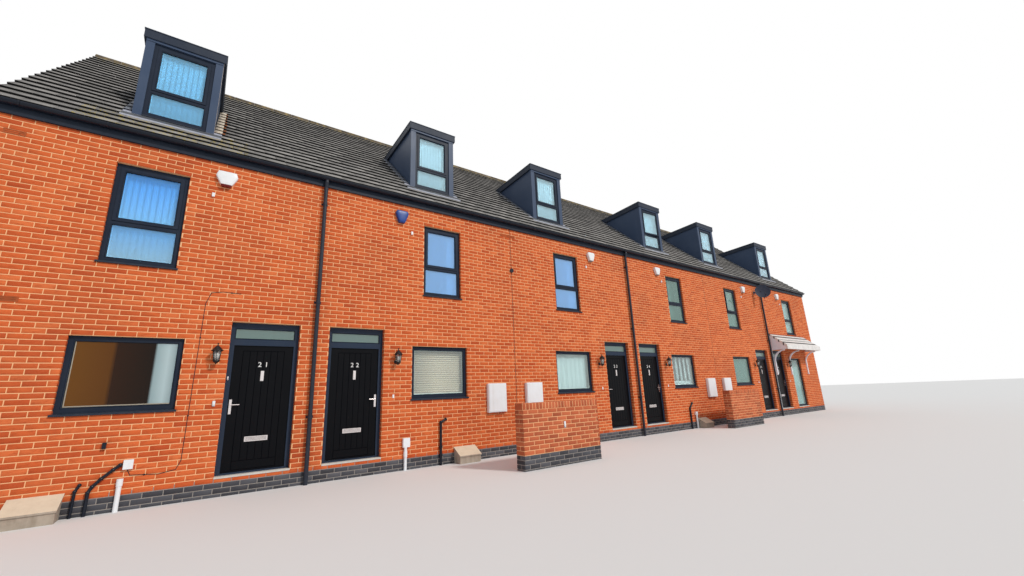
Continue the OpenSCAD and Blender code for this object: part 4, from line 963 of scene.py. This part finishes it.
for n in range(1, 7):
    middle = sum(mirrored(n, *doorway[:2])) / 2
    # Painted shade: three dark strips on each letter plate stand for the shade in its grooves.
    feet = [plate_z + off for off in (-0.0165, 0.0015, 0.0195)]
    lines = blocks([(middle - 0.142, plate_y - 0.0008, foot) for foot in feet],
        [(middle + 0.142, plate_y, foot + 0.0055) for foot in feet])
    quad_piece("letter_plate_shade_lines_%d" % n, [lines], groove_shade, body="entry_door_%d" % n)
    curve = bpy.data.curves.new("number", "FONT")
    curve.body = str(20 + n)
    curve.size = 0.112
    curve.space_character = 1.7
    curve.offset = 0.0006
    curve.extrude = 0.003
    curve.align_x = "CENTER"
    text = stand("number", curve)
    bpy.context.view_layer.update()
    mesh = bpy.data.meshes.new_from_object(text.evaluated_get(bpy.context.evaluated_depsgraph_get()))
    bpy.data.objects.remove(text)
    mesh.transform(Matrix(((1, 0, 0, middle), (0, 0, -1, number_y), (0, 1, 0, number_z), (0, 0, 0, 1))))
    mesh.materials.clear()
    mesh.materials.append(number_metal)
    o = stand("number_%d" % n, mesh)
    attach(o, "entry_door_%d" % n)


# Canopy: a moulded plastic lean-to roof in four steps on white curved brackets, with
# white cheeks and front. A band of painted shadow lies under each step, and rain has left
# grey runs.
canopy_sheet = weathered("canopy_sheet", (0.84, 0.82, 0.8), (0.42, 0.4, 0.4), 0.45, 4.0, 0.35, 0.35, 0.3)
y = axes(canopy_sheet)[1]
step_depth, shadow_share, front_edge = 0.155, 0.24, -4.712
# Painted shadow: a near-black band on the top of each step, just below the riser of the step above.
step_shadow = below(calc("FRACT", calc("DIVIDE", calc("SUBTRACT", -wall_y, y), step_depth)), shadow_share)
paint(mixed(times(step_shadow, above(y, front_edge)), worn_colour(canopy_sheet), (0.028, 0.026, 0.028)))
dress(canopy_sheet, "canopy_roof")
dress(weathered("white_trim", (0.9, 0.92, 1.0), (0.62, 0.6, 0.62), 0.35, 5.0, 0.2, 0.25, 0.4),
    "canopy_frame")


# Meter boxes: white moulded cabinets with a door and a lock. The low gas boxes have pale
# beige lids over greyer sides. The pipe boxes and three small wall parts are white.
meter_white = weathered("meter_white", (0.87, 0.9, 0.94), (0.66, 0.63, 0.6), 0.38, 4.0, 0.2, 0.25, 0.4)
dress(meter_white, "meter_boxes", "junction_boxes")
small_parts = blocks([(-1.216, -4.019, 1.678), (-1.369, -4.124, 1.289), (3.998, -6.016, 0.643)],
    [(-1.198, -4.0045, 1.734), (-1.332, -4.1025, 1.367), (4.036, -6.0035, 0.753)])
quad_piece("small_white_parts", [small_parts], meter_white)
gas_plastic = weathered("gas_box_plastic", (0.46, 0.39, 0.32), (0.25, 0.2, 0.15), 0.7, 7.0, 0.5, 0.45, 0.2)
normal = node(gas_plastic, "SeparateXYZ", [(0, node(gas_plastic, "NewGeometry").outputs["Normal"])])
lid_colour = mixed(times(worn_colour(gas_plastic, "Mask"), 0.5), (0.76, 0.65, 0.5), (0.5, 0.38, 0.26))
paint(mixed(above(normal.outputs["Z"], 0.3), worn_colour(gas_plastic), lid_colour))
dress(gas_plastic, "gas_boxes")


# Lanterns: black painted metal. A cup and a conical cap with a finial, turned on a lathe
# form, are joined by six bars round a frosted glass sleeve, on an arm from a wall plate.
def turned(profile, place, steps=24, lying=False, start=0.0):
    """A profile of (radius, height) rows in millimetres, spun about an upright line from a
    start angle, or about a line along Y where lying is set."""
    profile = np.array(profile) / 1000
    a = 2 * math.pi * np.arange(steps) / steps + start
    r, h = profile[:, 0, None], profile[:, 1, None]
    points = at_points(r * np.cos(a), r * np.sin(a), h)
    if lying:
        points = points[:, [0, 2, 1]] * [1, -1, 1]
    return points + place, closed(len(profile), steps), None


def tube(path, radius, steps=8):
    """A round bar along a path: rings square to it, held by a fixed side direction."""
    ahead = np.gradient(path, axis=0)
    ahead /= np.linalg.norm(ahead, axis=1)[:, None]
    across = np.cross(ahead, [[1.0, 0, 0]])
    across /= np.linalg.norm(across, axis=1)[:, None]
    third = np.cross(ahead, across)
    a = 2 * math.pi * np.arange(steps)[:, None] / steps
    ring = across[:, None] * np.cos(a) + third[:, None] * np.sin(a)
    return (path[:, None] + radius * ring).reshape(-1, 3), closed(len(path), steps), None


plate = [(2, 0.5), (36, 0.5), (42, 4), (42, 10), (34, 15), (2, 16)]
cup = [(2, 0), (10, 1), (14, 10), (24, 16), (38, 28), (46, 40), (48, 50), (43, 53), (2, 53)]
cap = [(2, 190), (62, 190), (80, 195), (80, 203), (72, 208), (58, 228), (36, 254), (18, 272), (10, 277),
    (7, 284), (7, 297), (11, 302), (11, 309), (5, 316), (1, 317)]
sleeve = [(2, 53.5), (39, 53.5), (56, 189.5), (2, 189.5)]
bulb = [(2, 56), (14, 56), (14, 90), (24, 110), (26, 130), (16, 152), (2, 158)]
s = np.linspace(0, 1, 9)[:, None]
arm = (1 - s) ** 2 * [0, 0.11, 0.062] + 2 * s * (1 - s) * [0, 0.05, -0.006] + s ** 2 * [0, 0.0, 0.004]
metal, sleeves, bulbs = [], [], []
for n, off in enumerate([1.39, 1.482, 1.517, 1.49, 1.441, 1.45], 1):
    x = mirrored(n, off, off)[0]
    c = np.array([x, -4.218, 1.915])
    metal += [turned(plate, (x, -wall_y, 1.977), lying=True), tube(c + arm, 0.008), turned(cup, c),
        turned(cap, c)]
    for a in math.pi / 3 * np.arange(6) + math.pi / 6:
        low, high = [c + (r * math.cos(a), r * math.sin(a), z) for r, z in ((0.043, 0.05), (0.06, 0.193))]
        metal.append(tube(np.linspace(low, high, 3), 0.0045, 6))
    sleeves.append(turned(sleeve, c, 6, start=math.pi / 6))
    bulbs.append(turned(bulb, c, 16))
lantern_black = weathered("lantern_black", (0.008, 0.008, 0.01), (0.035, 0.034, 0.036), 0.32, 20.0, 0.3, 0.1,
    0.35)
o = quad_piece("lantern_metal", metal, lantern_black)
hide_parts("lanterns")
frosted = glass("lantern_glass", (0.62, 0.62, 0.61), 0.75, 0.18)
quad_piece("lantern_glass", sleeves, frosted)
bulb_white = weathered("bulb_white", (0.85, 0.85, 0.82), (0.7, 0.7, 0.66), 0.4, 20.0, 0.2, 0.0)
quad_piece("lantern_bulbs", bulbs, bulb_white)


# Alarm covers: moulded shields with a domed front, white but for one blue one, and with
# a red lens along the foot of the first. Small white sensors sit below them.
alarm_white = weathered("alarm_cover", (0.86, 0.88, 0.9), (0.62, 0.6, 0.59), 0.35, 8.0, 0.15, 0.15, 0.4)
x, y, z = axes(alarm_white)
cover_foot, lens_top = 4.8, 4.882
cover = above(z, cover_foot)
foot = times(cover, below(z, lens_top))
second = times(above(x, 1.3), below(x, 1.72))
colour = mixed(times(second, cover), worn_colour(alarm_white), (0.012, 0.055, 0.26))
colour = mixed(times(foot, below(x, -1.3)), colour, (0.16, 0.008, 0.008))
paint(mixed(times(foot, above(x, 3.0)), colour, (0.26, 0.25, 0.25)))
dress(alarm_white, "alarm_boxes")


def domed(outline, place, count=40):
    """A domed cover: the outline is walked at even steps, its corners are rounded by a mean
    of neighbours, and loops shrink towards the middle while they rise along a quarter round."""
    ring = np.vstack([outline, outline[:1]])
    run = np.concatenate([[0], np.cumsum(np.linalg.norm(np.diff(ring, axis=0), axis=1))])
    at = np.linspace(0, run[-1], count, endpoint=False)
    p = np.stack([np.interp(at, run, ring[:, k]) for k in (0, 1)], 1)
    for _ in range(2):
        p = (np.roll(p, 1, 0) + 2 * p + np.roll(p, -1, 0)) / 4
    middle = p.mean(0)
    scale = np.array([1.02, 1.02, 0.985, 0.92, 0.78, 0.55, 0.28, 0.04])[:, None]
    depth = np.array([0.0635, 0.07, 0.0765, 0.0815, 0.0855, 0.088, 0.0893, 0.0896])[:, None]
    x, z = (middle + (p - middle)[None] * scale[..., None]).transpose(2, 0, 1)
    return at_points(x, -depth, z) + place, closed(len(scale), count), None


first_shape = np.array([[-62, -140], [62, -140], [155, 40], [125, 125], [-125, 125], [-155, 40]]) / 1000
other_shape = np.array([[-60, -130], [60, -130], [138, 80], [110, 130], [-110, 130], [-138, 80]]) / 1000
cover_z = 4.992
covers = []
for n, off in enumerate([1.556, 1.517, 1.519, 1.575, 1.448, 1.576], 1):
    shape = first_shape if n == 1 else other_shape
    covers.append(domed(shape, (mirrored(n, off, off)[0], -wall_y, cover_z)))
quad_piece("alarm_covers", covers, alarm_white)


# Dish: dark painted pressed steel, bolted to the wall on an arm. The air bricks are
# terracotta grilles, built into the brickwork.
dress(weathered("dish_paint", (0.034, 0.041, 0.068), (0.06, 0.066, 0.085), 0.5, 6.0, 0.35, 0.2, 0.2), "dish")
dress(weathered("air_brick", (0.42, 0.1, 0.035), (0.22, 0.08, 0.04), 0.85, 20.0, 0.5, 0.2, 0.1), "vents")
